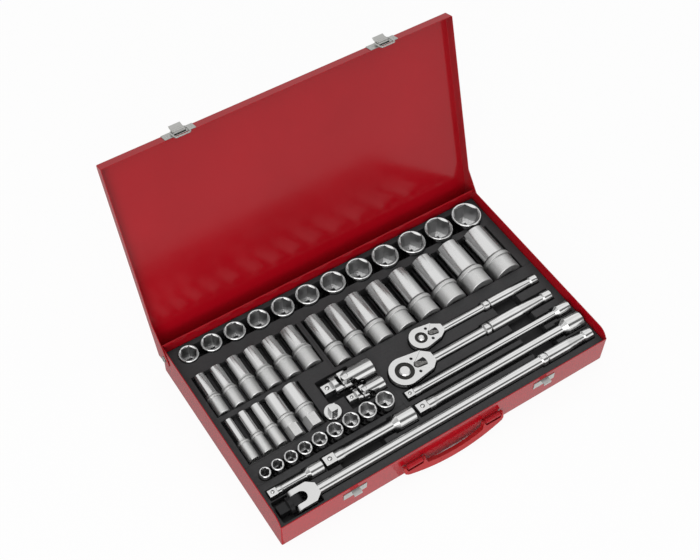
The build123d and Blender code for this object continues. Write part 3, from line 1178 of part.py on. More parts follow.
def tray_rooms():
    """All the rooms in the tray."""
    rooms = standing_trough(
        SHALLOW_LARGE_PLACES, SHALLOW_LARGE_RADII, SHALLOW_LARGE_SEAT,
        [WELL_SHARE * radius for radius in SHALLOW_LARGE_RADII])
    rooms += standing_trough(
        SHALLOW_SMALL_PLACES, SHALLOW_SMALL_RADII, SHALLOW_SMALL_FLOOR,
        [radius + WELL_GAP for radius in SHALLOW_SMALL_RADII])
    rooms.append(standing_room(*ADAPTER_PLACE, ADAPTER_RADIUS, ADAPTER_TOP - adapter_height))
    rooms += lying_trough(DEEP_LARGE_LEFT, DEEP_BACK, DEEP_LARGE_AXIS, [
        (x, radius + LARGE_RING, DEEP_LARGE_LENGTH) for x, radius in zip(DEEP_LARGE_X, DEEP_LARGE_RADII)])
    rooms += lying_trough(LEFT + SOCKET_EDGE, DEEP_BACK, DEEP_SMALL_AXIS, [
        (x, radius + SMALL_RING, DEEP_SMALL_LENGTH) for x, radius in zip(DEEP_SMALL_X, DEEP_SMALL_RADII)])
    slim_lengths = [DEEP_SMALL_LENGTH] * len(SLIM_SMALL) + [PLUG_LENGTH] * len(PLUG_SMALL)
    slim_radii = [radius + SMALL_RING for radius in SLIM_WIDEST]
    slim_radii += [radius + MOUTH_STEP + SMALL_RING for radius in PLUG_RADII]
    rooms += lying_trough(
        LEFT + SOCKET_EDGE, SLIM_BACK, DEEP_SMALL_AXIS, list(zip(SLIM_X, slim_radii, slim_lengths)))
    rooms += [
        lying_room(
            along(start, BACK - line, BAR_AXIS),
            [(0, length - bar.end_length - bar.cone, bar.drive / sqrt(2)),
             (length - bar.end_length - bar.cone, length, bar.end_radius)])
        for _, bar, length, start, line in EXTENSIONS]
    rooms += ratchet_rooms(LARGE_RATCHET, *LARGE_HEAD)
    rooms += ratchet_rooms(SMALL_RATCHET, *SMALL_HEAD)
    rooms += universal_rooms(LARGE_UNIVERSAL, *LARGE_CROSS)
    rooms += universal_rooms(SMALL_UNIVERSAL, *SMALL_CROSS)
    rooms.append(lying_room(
        breaker_plane,
        [(fork_end, grip_start, BREAKER_BAR_RADIUS),
         (grip_start - KNOB_STEP, BREAKER_LENGTH, BREAKER_GRIP_RADIUS)]))
    rooms.append(flat_room(
        BREAKER_START - BED_GAP, BREAKER_START + fork_end + FORK_TAPER, BREAKER_Y - FORK_HALF - BED_GAP,
        BREAKER_Y + FORK_HALF + BED_GAP, BAR_AXIS - BREAKER_SHOULDER_RADIUS - SEAT, POCKET_CORNER))
    right_band = RIGHT - BAND_FROM_RIGHT
    rooms.append(flat_room(
        right_band - BAND_WIDTH, right_band, BREAKER_Y - BREAKER_GRIP_RADIUS, SMALL_HEAD[1], BAND_FLOOR,
        BAND_CORNER))
    left_band = LEFT + LEFT_BAND_FROM_LEFT
    rooms.append(flat_room(
        left_band, left_band + LEFT_BAND_WIDTH, BREAKER_Y, BACK - LARGE_BAR_LINE, BAND_FLOOR, BAND_CORNER))
    return rooms


def seam(start, end):
    """Thin joint through the tray between two points in plan."""
    with BuildPart() as joint:
        with BuildSketch(Plane.XY):
            with Locations(((start[0] + end[0]) / 2, (start[1] + end[1]) / 2)):
                Rectangle(abs(end[0] - start[0]) + SEAM, abs(end[1] - start[1]) + SEAM)
        extrude(amount=TRAY_TOP)
    return joint.part


def tray_seams():
    """Joints between the tray's six sections, along the ends of its rooms."""
    back_y = BACK - DEEP_BACK + BED_GAP + SEAM / 2
    deep_x = DEEP_LARGE_LEFT - DEEP_SET_GAP / 2
    deep_y = BACK - DEEP_LARGE_FRONT - BED_GAP - SEAM / 2
    head_x = LARGE_HEAD[0] - LARGE_RATCHET.head_radius - UNIVERSAL_TO_RATCHET / 2
    row_back_y = BACK - SHALLOW_SMALL_BACK + SLIM_TO_SHALLOW / 2
    row_front_y = BACK - SHALLOW_SMALL_FRONT - WELL_GAP - SEAM / 2
    return [
        seam((LEFT, back_y), (RIGHT, back_y)), seam((deep_x, back_y), (deep_x, deep_y)),
        seam((deep_x, deep_y), (RIGHT, deep_y)), seam((head_x, deep_y), (head_x, -BACK)),
        seam((LEFT, row_back_y), (head_x, row_back_y)), seam((LEFT, row_front_y), (head_x, row_front_y))]


with BuildPart() as tool_tray:
    with BuildSketch(Plane.XY.offset(SHEET)):
        Rectangle(TRAY_LENGTH, TRAY_WIDTH)
    extrude(amount=TRAY_TOP - SHEET)
    add(tray_rooms() + tray_seams(), mode=Mode.SUBTRACT)
save(tool_tray, "tool_tray")
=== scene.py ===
import json
from math import cos, pi, radians, sin, sqrt

import bmesh
import bpy
from mathutils import Matrix, Vector


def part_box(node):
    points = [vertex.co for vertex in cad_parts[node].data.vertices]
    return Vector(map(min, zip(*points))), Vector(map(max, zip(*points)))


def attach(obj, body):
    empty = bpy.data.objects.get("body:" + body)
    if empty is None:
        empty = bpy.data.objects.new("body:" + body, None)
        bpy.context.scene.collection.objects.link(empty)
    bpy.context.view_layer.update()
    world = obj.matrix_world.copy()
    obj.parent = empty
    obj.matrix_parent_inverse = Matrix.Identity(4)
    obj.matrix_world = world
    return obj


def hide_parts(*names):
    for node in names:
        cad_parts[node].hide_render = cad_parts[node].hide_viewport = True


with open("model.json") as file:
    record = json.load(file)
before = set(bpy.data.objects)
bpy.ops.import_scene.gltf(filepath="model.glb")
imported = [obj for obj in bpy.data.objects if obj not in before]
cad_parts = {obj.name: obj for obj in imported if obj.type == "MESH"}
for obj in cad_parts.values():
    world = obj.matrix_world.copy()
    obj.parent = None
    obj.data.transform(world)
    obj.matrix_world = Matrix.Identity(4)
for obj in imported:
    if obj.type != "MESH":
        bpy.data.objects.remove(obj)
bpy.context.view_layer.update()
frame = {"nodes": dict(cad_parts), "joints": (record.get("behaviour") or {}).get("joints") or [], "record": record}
nodes = frame["nodes"]
scene = bpy.context.scene

MM = 0.001
UP = (0, 0, 1)
TO_FRONT = (0, -1, 0)
TO_RIGHT = (1, 0, 0)
WHITE = (1.0, 1.0, 1.0)

# Noise: the span its values mostly fill, and how finely it is worked out
NOISE_SPAN = (0.3, 0.7)
DETAIL = 3.0
GRAIN_DETAIL = 2
FINE_DETAIL = 4
POLISH_DETAIL = 5
EVEN = (1, 1, 1)

# Rounding of edges in the shading, in metres
EDGE_ROUND = 0.35 * MM
BEVEL_SAMPLES = 4


def new_material(name, color, metallic):
    """A material with its Principled shader's colour and metal set."""
    material = bpy.data.materials.new(name)
    material.use_nodes = True
    material.diffuse_color = (*color, 1)
    shader = material.node_tree.nodes["Principled BSDF"]
    shader.inputs["Base Color"].default_value = (*color, 1)
    shader.inputs["Metallic"].default_value = metallic
    return material, material.node_tree, shader


def add_node(tree, kind, **values):
    """A node with its inputs or properties set by name."""
    made = tree.nodes.new(kind)
    for key, value in values.items():
        if key in made.inputs:
            made.inputs[key].default_value = value
        else:
            setattr(made, key, value)
    return made


def feed(tree, socket, value):
    """A socket linked to another one, or set to a constant."""
    if isinstance(value, bpy.types.NodeSocket):
        tree.links.new(value, socket)
    else:
        socket.default_value = value


def shown(sockets, name):
    """The socket of that name that the node's data type shows."""
    return next(socket for socket in sockets if socket.name == name and socket.enabled)


def calculate(tree, operation, *values, clamp=False):
    """The result of a sum on constants or sockets."""
    made = add_node(tree, "ShaderNodeMath", operation=operation, use_clamp=clamp)
    for socket, value in zip(made.inputs, values):
        feed(tree, socket, value)
    return made.outputs[0]


def calculate_vector(tree, operation, first, second):
    """The result of a sum on two vectors, constants or sockets."""
    made = add_node(tree, "ShaderNodeVectorMath", operation=operation)
    feed(tree, made.inputs[0], first)
    feed(tree, made.inputs[1], second)
    return made.outputs["Value" if operation == "DOT_PRODUCT" else "Vector"]


def split_vector(tree, vector):
    """The three parts of a vector, by axis name."""
    made = add_node(tree, "ShaderNodeSeparateXYZ")
    tree.links.new(vector, made.inputs[0])
    return made.outputs


def map_range(tree, value, source, target):
    """A value carried from one range to another and held inside it."""
    made = add_node(tree, "ShaderNodeMapRange")
    for name, level in zip(("From Min", "From Max", "To Min", "To Max"), (*source, *target)):
        made.inputs[name].default_value = level
    tree.links.new(value, made.inputs["Value"])
    return made.outputs["Result"]


def mix_colors(tree, factor, first, second):
    """Two colours, or sockets that give them, mixed by a value."""
    made = add_node(tree, "ShaderNodeMix", data_type="RGBA")
    feed(tree, shown(made.inputs, "Factor"), factor)
    for name, color in (("A", first), ("B", second)):
        feed(tree, shown(made.inputs, name), (*color, 1) if isinstance(color, tuple) else color)
    return shown(made.outputs, "Result")


def mix_values(tree, factor, first, second):
    """Two values mixed by a third."""
    made = add_node(tree, "ShaderNodeMix", data_type="FLOAT")
    for name, value in (("Factor", factor), ("A", first), ("B", second)):
        feed(tree, shown(made.inputs, name), value)
    return shown(made.outputs, "Result")


def place(tree):
    """The piece's own coordinates, in metres."""
    return add_node(tree, "ShaderNodeTexCoord").outputs["Object"]


def noise(tree, scale, detail=DETAIL, stretch=EVEN):
    """Noise in the piece's own coordinates, stretched along an axis where asked."""
    mapping = add_node(tree, "ShaderNodeMapping", Scale=stretch)
    tree.links.new(place(tree), mapping.inputs["Vector"])
    made = add_node(tree, "ShaderNodeTexNoise", Scale=scale, Detail=detail)
    tree.links.new(mapping.outputs["Vector"], made.inputs["Vector"])
    return made.outputs["Fac"]


def spread(tree, value, low, high):
    """A noise value spread over a range."""
    return map_range(tree, value, NOISE_SPAN, (low, high))


def patches(tree, scale, first, second, detail=DETAIL):
    """Two colours in soft patches."""
    return mix_colors(tree, spread(tree, noise(tree, scale, detail), 0, 1), first, second)


def seen_in_mirror(tree, color, mirrored):
    """A colour that reflections show as another one, as in the retouched photograph."""
    light = add_node(tree, "ShaderNodeLightPath")
    return mix_colors(tree, light.outputs["Is Glossy Ray"], color, mirrored)


def rounded_bump(tree, shader, height, strength, depth, edge=EDGE_ROUND):
    """Fine relief over softly rounded edges."""
    rounded = add_node(tree, "ShaderNodeBevel", samples=BEVEL_SAMPLES, Radius=edge)
    bump = add_node(tree, "ShaderNodeBump", Strength=strength, Distance=depth)
    tree.links.new(height, bump.inputs["Height"])
    tree.links.new(rounded.outputs["Normal"], bump.inputs["Normal"])
    tree.links.new(bump.outputs["Normal"], shader.inputs["Normal"])


def between(tree, axis, low, high):
    """One between two places along an axis, in metres, and nought elsewhere."""
    along = split_vector(tree, place(tree))[axis]
    return calculate(tree, "COMPARE", along, (low + high) / 2, (high - low) / 2)


def inside_box(tree, box):
    """One inside a box in x and y, and nought elsewhere."""
    return calculate(tree, "MULTIPLY", *(between(tree, axis, *span) for axis, span in zip("XY", box)))


def outside_box(tree, box):
    """Nought inside a box in x and y, and one elsewhere."""
    return calculate(tree, "SUBTRACT", 1.0, inside_box(tree, box))


def surface(name, color, metallic, *, roughness, gloss_scale, grain_scale, strength, depth,
            gloss_detail=DETAIL, stretch=EVEN, edge=EDGE_ROUND, patched=None, mirrored=None, ior=None):
    """A finish with uneven gloss and a fine grain; patched gives a scale and two colours."""
    material, tree, shader = new_material(name, color, metallic)
    if ior:
        shader.inputs["IOR"].default_value = ior
    if patched:
        shade = patches(tree, *patched)
        if mirrored:
            shade = seen_in_mirror(tree, shade, mirrored)
        tree.links.new(shade, shader.inputs["Base Color"])
    gloss = spread(tree, noise(tree, gloss_scale, gloss_detail), *roughness)
    tree.links.new(gloss, shader.inputs["Roughness"])
    rounded_bump(tree, shader, noise(tree, grain_scale, GRAIN_DETAIL, stretch), strength, depth, edge)
    return material


# Materials: colours, roughness from low to high, and noise scales per metre
RED = (0.41, 0.003, 0.010)
RED_DEEP = (0.37, 0.002, 0.008)
RED_IN_MIRROR = (0.22, 0.22, 0.22)
RED_IOR = 1.41
CHROME = (0.88, 0.88, 0.875)
CHROME_DULL = (0.84, 0.84, 0.83)
CHROME_IN_MIRROR = (0.4, 0.4, 0.4)
CHROME_DEPTH = 0.2 * MM
POLISH_SCALE = 90
POLISH_ROUGHNESS = (0.10, 0.16)
BUFF_SCALE = 500
BUFF_STRENGTH = 0.02
MATERIALS = {
    # Baked enamel on sheet steel, with slight orange peel
    "red_paint": surface(
        "red_enamel", RED, 0.0, patched=(9, RED, RED_DEEP), mirrored=RED_IN_MIRROR, ior=RED_IOR,
        roughness=(0.11, 0.17), gloss_scale=40, grain_scale=700, strength=0.04, depth=0.4 * MM,
        edge=0.6 * MM),
    # Satin red of the handle
    "red_plastic": surface(
        "red_handle", (0.42, 0.012, 0.02), 0.0, patched=(60, (0.47, 0.014, 0.016), (0.41, 0.008, 0.012)),
        roughness=(0.26, 0.38), gloss_scale=160, grain_scale=1500, strength=0.06, depth=0.2 * MM),
    # Bright nickel plate on the stamped latch parts
    "nickel": surface(
        "nickel", (0.56, 0.56, 0.54), 1.0, roughness=(0.28, 0.45), gloss_scale=300,
        gloss_detail=FINE_DETAIL, grain_scale=2000, strength=0.05, depth=0.1 * MM, edge=0.2 * MM),
    # Matte dark plastic of the moulded tray
    "tray": surface(
        "tray_plastic", (0.032, 0.032, 0.033), 0.0,
        patched=(30, (0.034, 0.034, 0.035), (0.029, 0.029, 0.030)), roughness=(0.5, 0.68),
        gloss_scale=400, grain_scale=2600, strength=0.25, depth=0.2 * MM, edge=0.8 * MM),
    # Polished chrome plate with faint buffing marks
    "chrome": surface(
        "chrome", CHROME, 1.0, patched=(60, CHROME, CHROME_DULL), mirrored=CHROME_IN_MIRROR,
        roughness=POLISH_ROUGHNESS, gloss_scale=POLISH_SCALE, gloss_detail=POLISH_DETAIL,
        grain_scale=BUFF_SCALE, stretch=(0.2, 1, 1), strength=BUFF_STRENGTH, depth=CHROME_DEPTH),
    # Dark phosphate finish on the ratchets' working parts; also the rings round the detent balls, which paint the
    # shade in the gap of each hole
    "dark_steel": surface(
        "dark_steel", (0.05, 0.049, 0.047), 1.0,
        patched=(700, (0.06, 0.059, 0.056), (0.04, 0.039, 0.037)), roughness=(0.28, 0.45),
        gloss_scale=900, grain_scale=3000, strength=0.1, depth=0.1 * MM, edge=0.2 * MM),
    # Black oxide on the hinged head and the screws; on the black sheets in the selectors' recesses it paints the
    # recesses' shade
    "black_steel": surface(
        "black_steel", (0.02, 0.02, 0.021), 0.6, roughness=(0.25, 0.42), gloss_scale=500,
        grain_scale=2500, strength=0.08, depth=0.1 * MM),
}

# Worn steel of the ratchets' selectors
selector_steel = surface(
    "selector_steel", (0.22, 0.215, 0.205), 1.0,
    patched=(500, (0.30, 0.295, 0.285), (0.14, 0.135, 0.13)), roughness=(0.22, 0.36),
    gloss_scale=900, grain_scale=3000, strength=0.1, depth=0.1 * MM, edge=0.5 * MM)

# Chrome of the deep sockets, satin at the drive ends
CHROME_SATIN = (0.92, 0.92, 0.91)
CHROME_SPECKLE = (0.76, 0.76, 0.75)
SPECKLE_SCALE = 1100
SATIN_SCALE = 700
SATIN_ROUGHNESS = (0.36, 0.5)
SATIN_GRAIN = 1400
SATIN_STRENGTH = 0.12

# Chrome of the standing sockets, rougher on the broached walls that face inward and darker there as painted shade
# of the hollow
BROACHED_AND_SHADED = (0.66, 0.66, 0.66)
BROACH_SCALE = 900
BROACH_STRETCH = (1, 1, 0.1)
BROACH_ROUGHNESS = (0.34, 0.48)
UPRIGHT_BUFFING = (1, 1, 0.2)
LEVEL = (1, 1, 0)
FROM_MIDDLE = "from_middle"
INWARD_MARGIN = 1 * MM
WALL_TILT = 0.3


def polish(tree):
    """Roughness of polished chrome."""
    return spread(tree, noise(tree, POLISH_SCALE, POLISH_DETAIL), *POLISH_ROUGHNESS)


def deep_chrome(name, bands):
    """Chrome on the deep sockets: polished mouths, and satin drive ends in the bands along y."""
    material, tree, shader = new_material(name, CHROME, 1.0)
    satin = between(tree, "Y", *bands[0])
    for band in bands[1:]:
        satin = calculate(tree, "ADD", satin, between(tree, "Y", *band), clamp=True)
    speckled = patches(tree, SPECKLE_SCALE, CHROME_SATIN, CHROME_SPECKLE, FINE_DETAIL)
    color = mix_colors(tree, satin, CHROME, speckled)
    tree.links.new(seen_in_mirror(tree, color, CHROME_IN_MIRROR), shader.inputs["Base Color"])
    dull = spread(tree, noise(tree, SATIN_SCALE, FINE_DETAIL), *SATIN_ROUGHNESS)
    tree.links.new(mix_values(tree, satin, polish(tree), dull), shader.inputs["Roughness"])
    grain = calculate(tree, "MULTIPLY", satin, noise(tree, SATIN_GRAIN))
    rounded_bump(tree, shader, grain, SATIN_STRENGTH, CHROME_DEPTH)
    return material


def standing_chrome():
    """Chrome on the standing sockets: polished outside; on the walls inside, rougher as broached steel and darker
    as painted shade.
    """
    material, tree, shader = new_material("chrome_standing", CHROME, 1.0)
    away = add_node(tree, "ShaderNodeAttribute", attribute_name=FROM_MIDDLE).outputs["Vector"]
    normal = add_node(tree, "ShaderNodeNewGeometry").outputs["True Normal"]
    facing = calculate_vector(
        tree, "DOT_PRODUCT", calculate_vector(tree, "MULTIPLY", away, LEVEL), normal)
    inward = calculate(tree, "LESS_THAN", facing, -INWARD_MARGIN)
    upright = calculate(tree, "COMPARE", split_vector(tree, normal)["Z"], 0.0, WALL_TILT)
    inside = calculate(tree, "MULTIPLY", inward, upright)
    # The darker colour on the inner walls is painted shade of the socket's hollow; their higher roughness is the
    # broached finish.
    color = mix_colors(tree, inside, seen_in_mirror(tree, CHROME, CHROME_IN_MIRROR), BROACHED_AND_SHADED)
    tree.links.new(color, shader.inputs["Base Color"])
    dull = spread(tree, noise(tree, BROACH_SCALE, FINE_DETAIL, BROACH_STRETCH), *BROACH_ROUGHNESS)
    tree.links.new(mix_values(tree, inside, polish(tree), dull), shader.inputs["Roughness"])
    buffing = noise(tree, BUFF_SCALE, GRAIN_DETAIL, UPRIGHT_BUFFING)
    rounded_bump(tree, shader, buffing, BUFF_STRENGTH, CHROME_DEPTH)
    return material


# Smooth shading
SMOOTH_ANGLE = radians(32)
MERGE_DISTANCE = 1e-6
FLAT_WEIGHT = 100


def island_total(tree, kind, value, island):
    """Sum of a value over each separate solid."""
    total = add_node(tree, "GeometryNodeAccumulateField", data_type=kind, domain="POINT")
    feed(tree, shown(total.inputs, "Value"), value)
    tree.links.new(island, shown(total.inputs, "Group ID"))
    return shown(total.outputs, "Total")


def smooth_shading():
    """Geometry nodes that join the mesh's points, shade it smooth below an angle and keep each point's
    place from the middle of its solid."""
    tree = bpy.data.node_groups.new("smooth_below_angle", "GeometryNodeTree")
    for way in ("INPUT", "OUTPUT"):
        tree.interface.new_socket("Geometry", in_out=way, socket_type="NodeSocketGeometry")
    start = add_node(tree, "NodeGroupInput")
    end = add_node(tree, "NodeGroupOutput")
    merge = add_node(tree, "GeometryNodeMergeByDistance", Distance=MERGE_DISTANCE)
    smooth_faces = add_node(tree, "GeometryNodeSetShadeSmooth", domain="FACE")
    smooth_edges = add_node(tree, "GeometryNodeSetShadeSmooth", domain="EDGE")
    angle = add_node(tree, "GeometryNodeInputMeshEdgeAngle").outputs["Unsigned Angle"]
    below = add_node(tree, "FunctionNodeCompare", operation="LESS_THAN", B=SMOOTH_ANGLE)
    tree.links.new(angle, below.inputs["A"])
    tree.links.new(below.outputs["Result"], smooth_edges.inputs["Shade Smooth"])
    island = add_node(tree, "GeometryNodeInputMeshIsland").outputs["Island Index"]
    position = add_node(tree, "GeometryNodeInputPosition").outputs["Position"]
    total = island_total(tree, "FLOAT_VECTOR", position, island)
    count = island_total(tree, "FLOAT", 1.0, island)
    offset = calculate_vector(
        tree, "SUBTRACT", position, calculate_vector(tree, "DIVIDE", total, count))
    store = add_node(
        tree, "GeometryNodeStoreNamedAttribute", data_type="FLOAT_VECTOR", domain="POINT",
        Name=FROM_MIDDLE)
    tree.links.new(offset, shown(store.inputs, "Value"))
    tree.links.new(start.outputs[0], merge.inputs["Geometry"])
    for before, after in ((merge, smooth_faces), (smooth_faces, smooth_edges), (smooth_edges, store)):
        tree.links.new(before.outputs["Geometry"], after.inputs["Geometry"])
    tree.links.new(store.outputs["Geometry"], end.inputs[0])
    return tree


SMOOTHING = smooth_shading()


def shade_smooth(piece):
    """Smooth shading that leaves large flat faces flat beside their small rounded edges."""
    piece.modifiers.new("smooth_below_angle", "NODES").node_group = SMOOTHING
    flat_first = piece.modifiers.new("flat_faces_first", "WEIGHTED_NORMAL")
    flat_first.mode = "FACE_AREA"
    flat_first.weight = FLAT_WEIGHT
    flat_first.keep_sharp = True


# Finishes of the solids, by slot apart from the sockets and the selectors
LARGE_SATIN = 29 * MM
SMALL_SATIN = 31 * MM
SATIN_MARGIN = 1 * MM
SMALL_DEEP_LENGTH = 64 * MM
PLUG_LENGTH = 66 * MM

slot_of = {sub["node"]: sub["material_slot"] for sub in frame["record"]["subparts"]}
finish_of = {name: MATERIALS[slot] for name, slot in slot_of.items()}
large_deep = [name for name in nodes if name.startswith("deep_socket_")]
large_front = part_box(large_deep[0])[0].y
large_chrome = deep_chrome(
    "chrome_large_deep", [(large_front - SATIN_MARGIN, large_front + LARGE_SATIN)])
finish_of.update({name: large_chrome for name in large_deep})
small_low, small_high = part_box("small_deep_sockets")
front_row_back = small_low.y + PLUG_LENGTH
back_row_front = small_high.y - SMALL_DEEP_LENGTH
finish_of["small_deep_sockets"] = deep_chrome("chrome_small_deep", [
    (small_low.y - SATIN_MARGIN, front_row_back - SMALL_DEEP_LENGTH + SMALL_SATIN),
    (back_row_front - SATIN_MARGIN, back_row_front + SMALL_SATIN)])
standing = standing_chrome()
finish_of.update({name: standing for name in nodes if "shallow_socket" in name})
finish_of.update({name: selector_steel for name in nodes if name.endswith("_selector")})
for name, piece in nodes.items():
    piece.data.materials.clear()
    piece.data.materials.append(finish_of[name])
    shade_smooth(piece)

# Steps of the curves made here, and the sides of a turned outline
TURN_STEPS = 36
CAP_STEPS = 6
ROUND_STEPS = 4
ROUND = 0
HEX = 6


def finished_mesh(made, name):
    """A mesh of what was built, its faces turned outward."""
    bmesh.ops.recalc_face_normals(made, faces=made.faces)
    mesh = bpy.data.meshes.new(name)
    made.to_mesh(mesh)
    made.free()
    return mesh


def corner_share(angle, sides):
    """How far a polygon's outline lies from its centre at an angle, against its inner radius."""
    step = 2 * pi / sides
    return 1 / cos((angle % step) - step / 2)


def turned_mesh(name, profile, ring=False):
    """A profile of radius, height and sides turned about +Z; a ring's profile closes on itself."""
    made = bmesh.new()
    rows = []
    for radius, height, sides in profile:
        if radius == 0:
            rows.append([made.verts.new((0, 0, height))])
            continue
        row = []
        for step in range(TURN_STEPS):
            angle = 2 * pi * step / TURN_STEPS
            reach = radius * corner_share(angle, sides) if sides else radius
            row.append(made.verts.new((reach * cos(angle), reach * sin(angle), height)))
        rows.append(row)
    pairs = list(zip(rows, rows[1:]))
    if ring:
        pairs.append((rows[-1], rows[0]))
    for upper, lower in pairs:
        for step in range(TURN_STEPS):
            after = (step + 1) % TURN_STEPS
            corners = [upper[step % len(upper)], lower[step % len(lower)], lower[after % len(lower)],
                       upper[after % len(upper)]]
            made.faces.new(list(dict.fromkeys(corners)))
    return finished_mesh(made, name)


def plate_mesh(name, outline, half_thickness, rounding):
    """An outline in x and y made into a flat bar with rounded edges."""
    made = bmesh.new()
    front, back = [
        [made.verts.new((x, y, z)) for x, y in outline] for z in (-half_thickness, half_thickness)]
    rims = [made.faces.new(front), made.faces.new(list(reversed(back)))]
    for index in range(len(outline)):
        after = (index + 1) % len(outline)
        made.faces.new([front[after], front[index], back[index], back[after]])
    edges = {edge for rim in rims for edge in rim.edges}
    bmesh.ops.bevel(
        made, geom=list(edges), offset=rounding, segments=ROUND_STEPS, profile=0.5, affect="EDGES",
        clamp_overlap=True)
    return finished_mesh(made, name)


def add_piece(name, mesh, slot, body, matrix):
    """A piece of a slot's finish that rides on a body."""
    piece = bpy.data.objects.new(name, mesh)
    mesh.materials.append(MATERIALS[slot])
    piece.matrix_world = matrix
    scene.collection.objects.link(piece)
    shade_smooth(piece)
    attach(piece, body)
    return piece


def set_piece(name, mesh, slot, body, spot, outward):
    """A small piece standing on a spot of a body, its axis pointing outward."""
    turn_out = Vector(outward).to_track_quat("Z", "Y").to_matrix().to_4x4()
    add_piece(name, mesh, slot, body, Matrix.Translation(spot) @ turn_out)


def middle(node):
    """Middle of a node's box."""
    low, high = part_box(node)
    return (low + high) / 2


def joint_place(name):
    """A joint's place at rest."""
    return next(joint for joint in frame["joints"] if joint["name"] == name)["pos_m"]


def cap(radius, rise):
    """Profile of a dome, from its top out to its rim."""
    curve = (radius**2 + rise**2) / (2 * rise)
    outs = [radius * step / CAP_STEPS for step in range(CAP_STEPS + 1)]
    return [(out, sqrt(curve**2 - out**2) - curve + rise, ROUND) for out in outs]


# Ball detents in the drive squares, with the lengths of the squares
LARGE_DRIVE = 12.7 * MM
SMALL_DRIVE = 9.525 * MM
BALL_SHARE = 0.19
BALL_RISE = 0.35
BALL_SINK = 0.3 * MM
RING_LIP = 0.09 * MM
RING_WIDTH = 0.5 * MM
RING_SINK = 0.1 * MM
LARGE_TIP = 15 * MM
SMALL_TIP = 11 * MM
LARGE_UNIVERSAL_TIP = 13 * MM
SMALL_UNIVERSAL_TIP = 10.5 * MM
ADAPTER_HALF_TIP = 4.5 * MM


def detent(body, spot, outward, drive):
    """A sprung ball in a drive square, with a dark ring round it that paints the shade in the gap of its hole."""
    radius = BALL_SHARE * drive
    ball = cap(radius, BALL_RISE * radius) + [(radius, -BALL_SINK, ROUND), (0, -BALL_SINK, ROUND)]
    set_piece(f"{body}_ball", turned_mesh(f"{body}_ball", ball), "chrome", body, spot, outward)
    # A dark ring paints the shade in the gap round the ball.
    name = f"{body}_ball_gap_shade"
    edge = [
        (radius, -RING_SINK, ROUND), (radius, RING_LIP, ROUND), (radius + RING_WIDTH / 2, RING_LIP, ROUND),
        (radius + RING_WIDTH, RING_SINK / 2, ROUND), (radius + RING_WIDTH, -RING_SINK, ROUND)]
    set_piece(name, turned_mesh(name, edge, ring=True), "dark_steel", body, spot, outward)


for node, body, drive, tip in (
        ("small_extension", "small_extension", SMALL_DRIVE, SMALL_TIP),
        ("short_extension", "short_extension", SMALL_DRIVE, SMALL_TIP),
        ("medium_extension", "medium_extension", LARGE_DRIVE, LARGE_TIP),
        ("long_extension", "long_extension", LARGE_DRIVE, LARGE_TIP),
        ("large_universal_drive_yoke", "large_universal_drive_side", LARGE_DRIVE, LARGE_UNIVERSAL_TIP),
        ("small_universal_drive_yoke", "small_universal_drive_side", SMALL_DRIVE, SMALL_UNIVERSAL_TIP)):
    at = middle(node)
    detent(body, (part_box(node)[0].x + tip / 2, at.y, at.z + drive / 2), UP, drive)
at = middle("drive_adapter")
tip_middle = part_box("drive_adapter")[1].z - ADAPTER_HALF_TIP
detent("drive_adapter", (at.x, at.y - SMALL_DRIVE / 2, tip_middle), TO_FRONT, SMALL_DRIVE)

# Screws in the ratchets' covers: profile, depth, and places from the middle of the button
SCREW_PROFILE = [
    (0, 0.15 * MM, ROUND), (0.8 * MM, 0.15 * MM, HEX), (0.8 * MM, 0.55 * MM, HEX),
    (1.3 * MM, 0.6 * MM, ROUND), (1.7 * MM, 0.5 * MM, ROUND), (1.85 * MM, 0.3 * MM, ROUND),
    (1.85 * MM, -0.05 * MM, ROUND), (0, -0.05 * MM, ROUND)]
SCREW_SINK = 0.9 * MM
SCREW_PLACES = {"large": (16.7 * MM, 10.6 * MM), "small": (12.4 * MM, 8.4 * MM)}

for size, (screw_x, screw_y) in SCREW_PLACES.items():
    at = middle(f"{size}_ratchet_button")
    screw_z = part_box(f"{size}_ratchet_cover")[1].z - SCREW_SINK
    for side, hand in (("back", 1), ("front", -1)):
        name = f"{size}_ratchet_screw_{side}"
        spot = (at.x + screw_x, at.y + hand * screw_y, screw_z)
        set_piece(name, turned_mesh(name, SCREW_PROFILE), "black_steel", f"{size}_ratchet", spot, UP)

# Black sheets under the selectors, in the recesses of the covers, that paint the shade of the recesses: radius of
# the hub, and reach
SHADE_SHEET_DEPTH = 1.4 * MM
SHADE_SHEET_HALF_THICKNESS = 0.1 * MM
SHADE_SHEET_ROUNDING = 0.03 * MM
SHADE_SHEET_SPREAD = radians(26)
HUB_START = radians(100)
HUB_END = radians(260)
SHADE_SHEET_SIZES = {"large": (4.7 * MM, 13.2 * MM), "small": (3.9 * MM, 10.6 * MM)}


def shade_sheet_outline(hub, reach):
    """A fan about a pivot: the arc that the selector's tail sweeps, and a hub behind it."""
    points = []
    for step in range(-CAP_STEPS, CAP_STEPS + 1):
        angle = SHADE_SHEET_SPREAD * step / CAP_STEPS
        points.append((reach * cos(angle), reach * sin(angle)))
    for step in range(2 * CAP_STEPS + 1):
        angle = HUB_START + (HUB_END - HUB_START) * step / (2 * CAP_STEPS)
        points.append((hub * cos(angle), hub * sin(angle)))
    return points


for size, (hub, reach) in SHADE_SHEET_SIZES.items():
    pivot_x, pivot_y, _ = joint_place(f"{size}_ratchet_select")
    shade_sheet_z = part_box(f"{size}_ratchet_cover")[1].z - SHADE_SHEET_DEPTH + SHADE_SHEET_HALF_THICKNESS
    name = f"{size}_ratchet_selector_seat"
    # A black sheet in the cover's recess paints the recess's shade.
    shade_sheet = plate_mesh(name, shade_sheet_outline(hub, reach), SHADE_SHEET_HALF_THICKNESS, SHADE_SHEET_ROUNDING)
    spot = Matrix.Translation((pivot_x, pivot_y, shade_sheet_z))
    add_piece(name, shade_sheet, "black_steel", f"{size}_ratchet", spot)

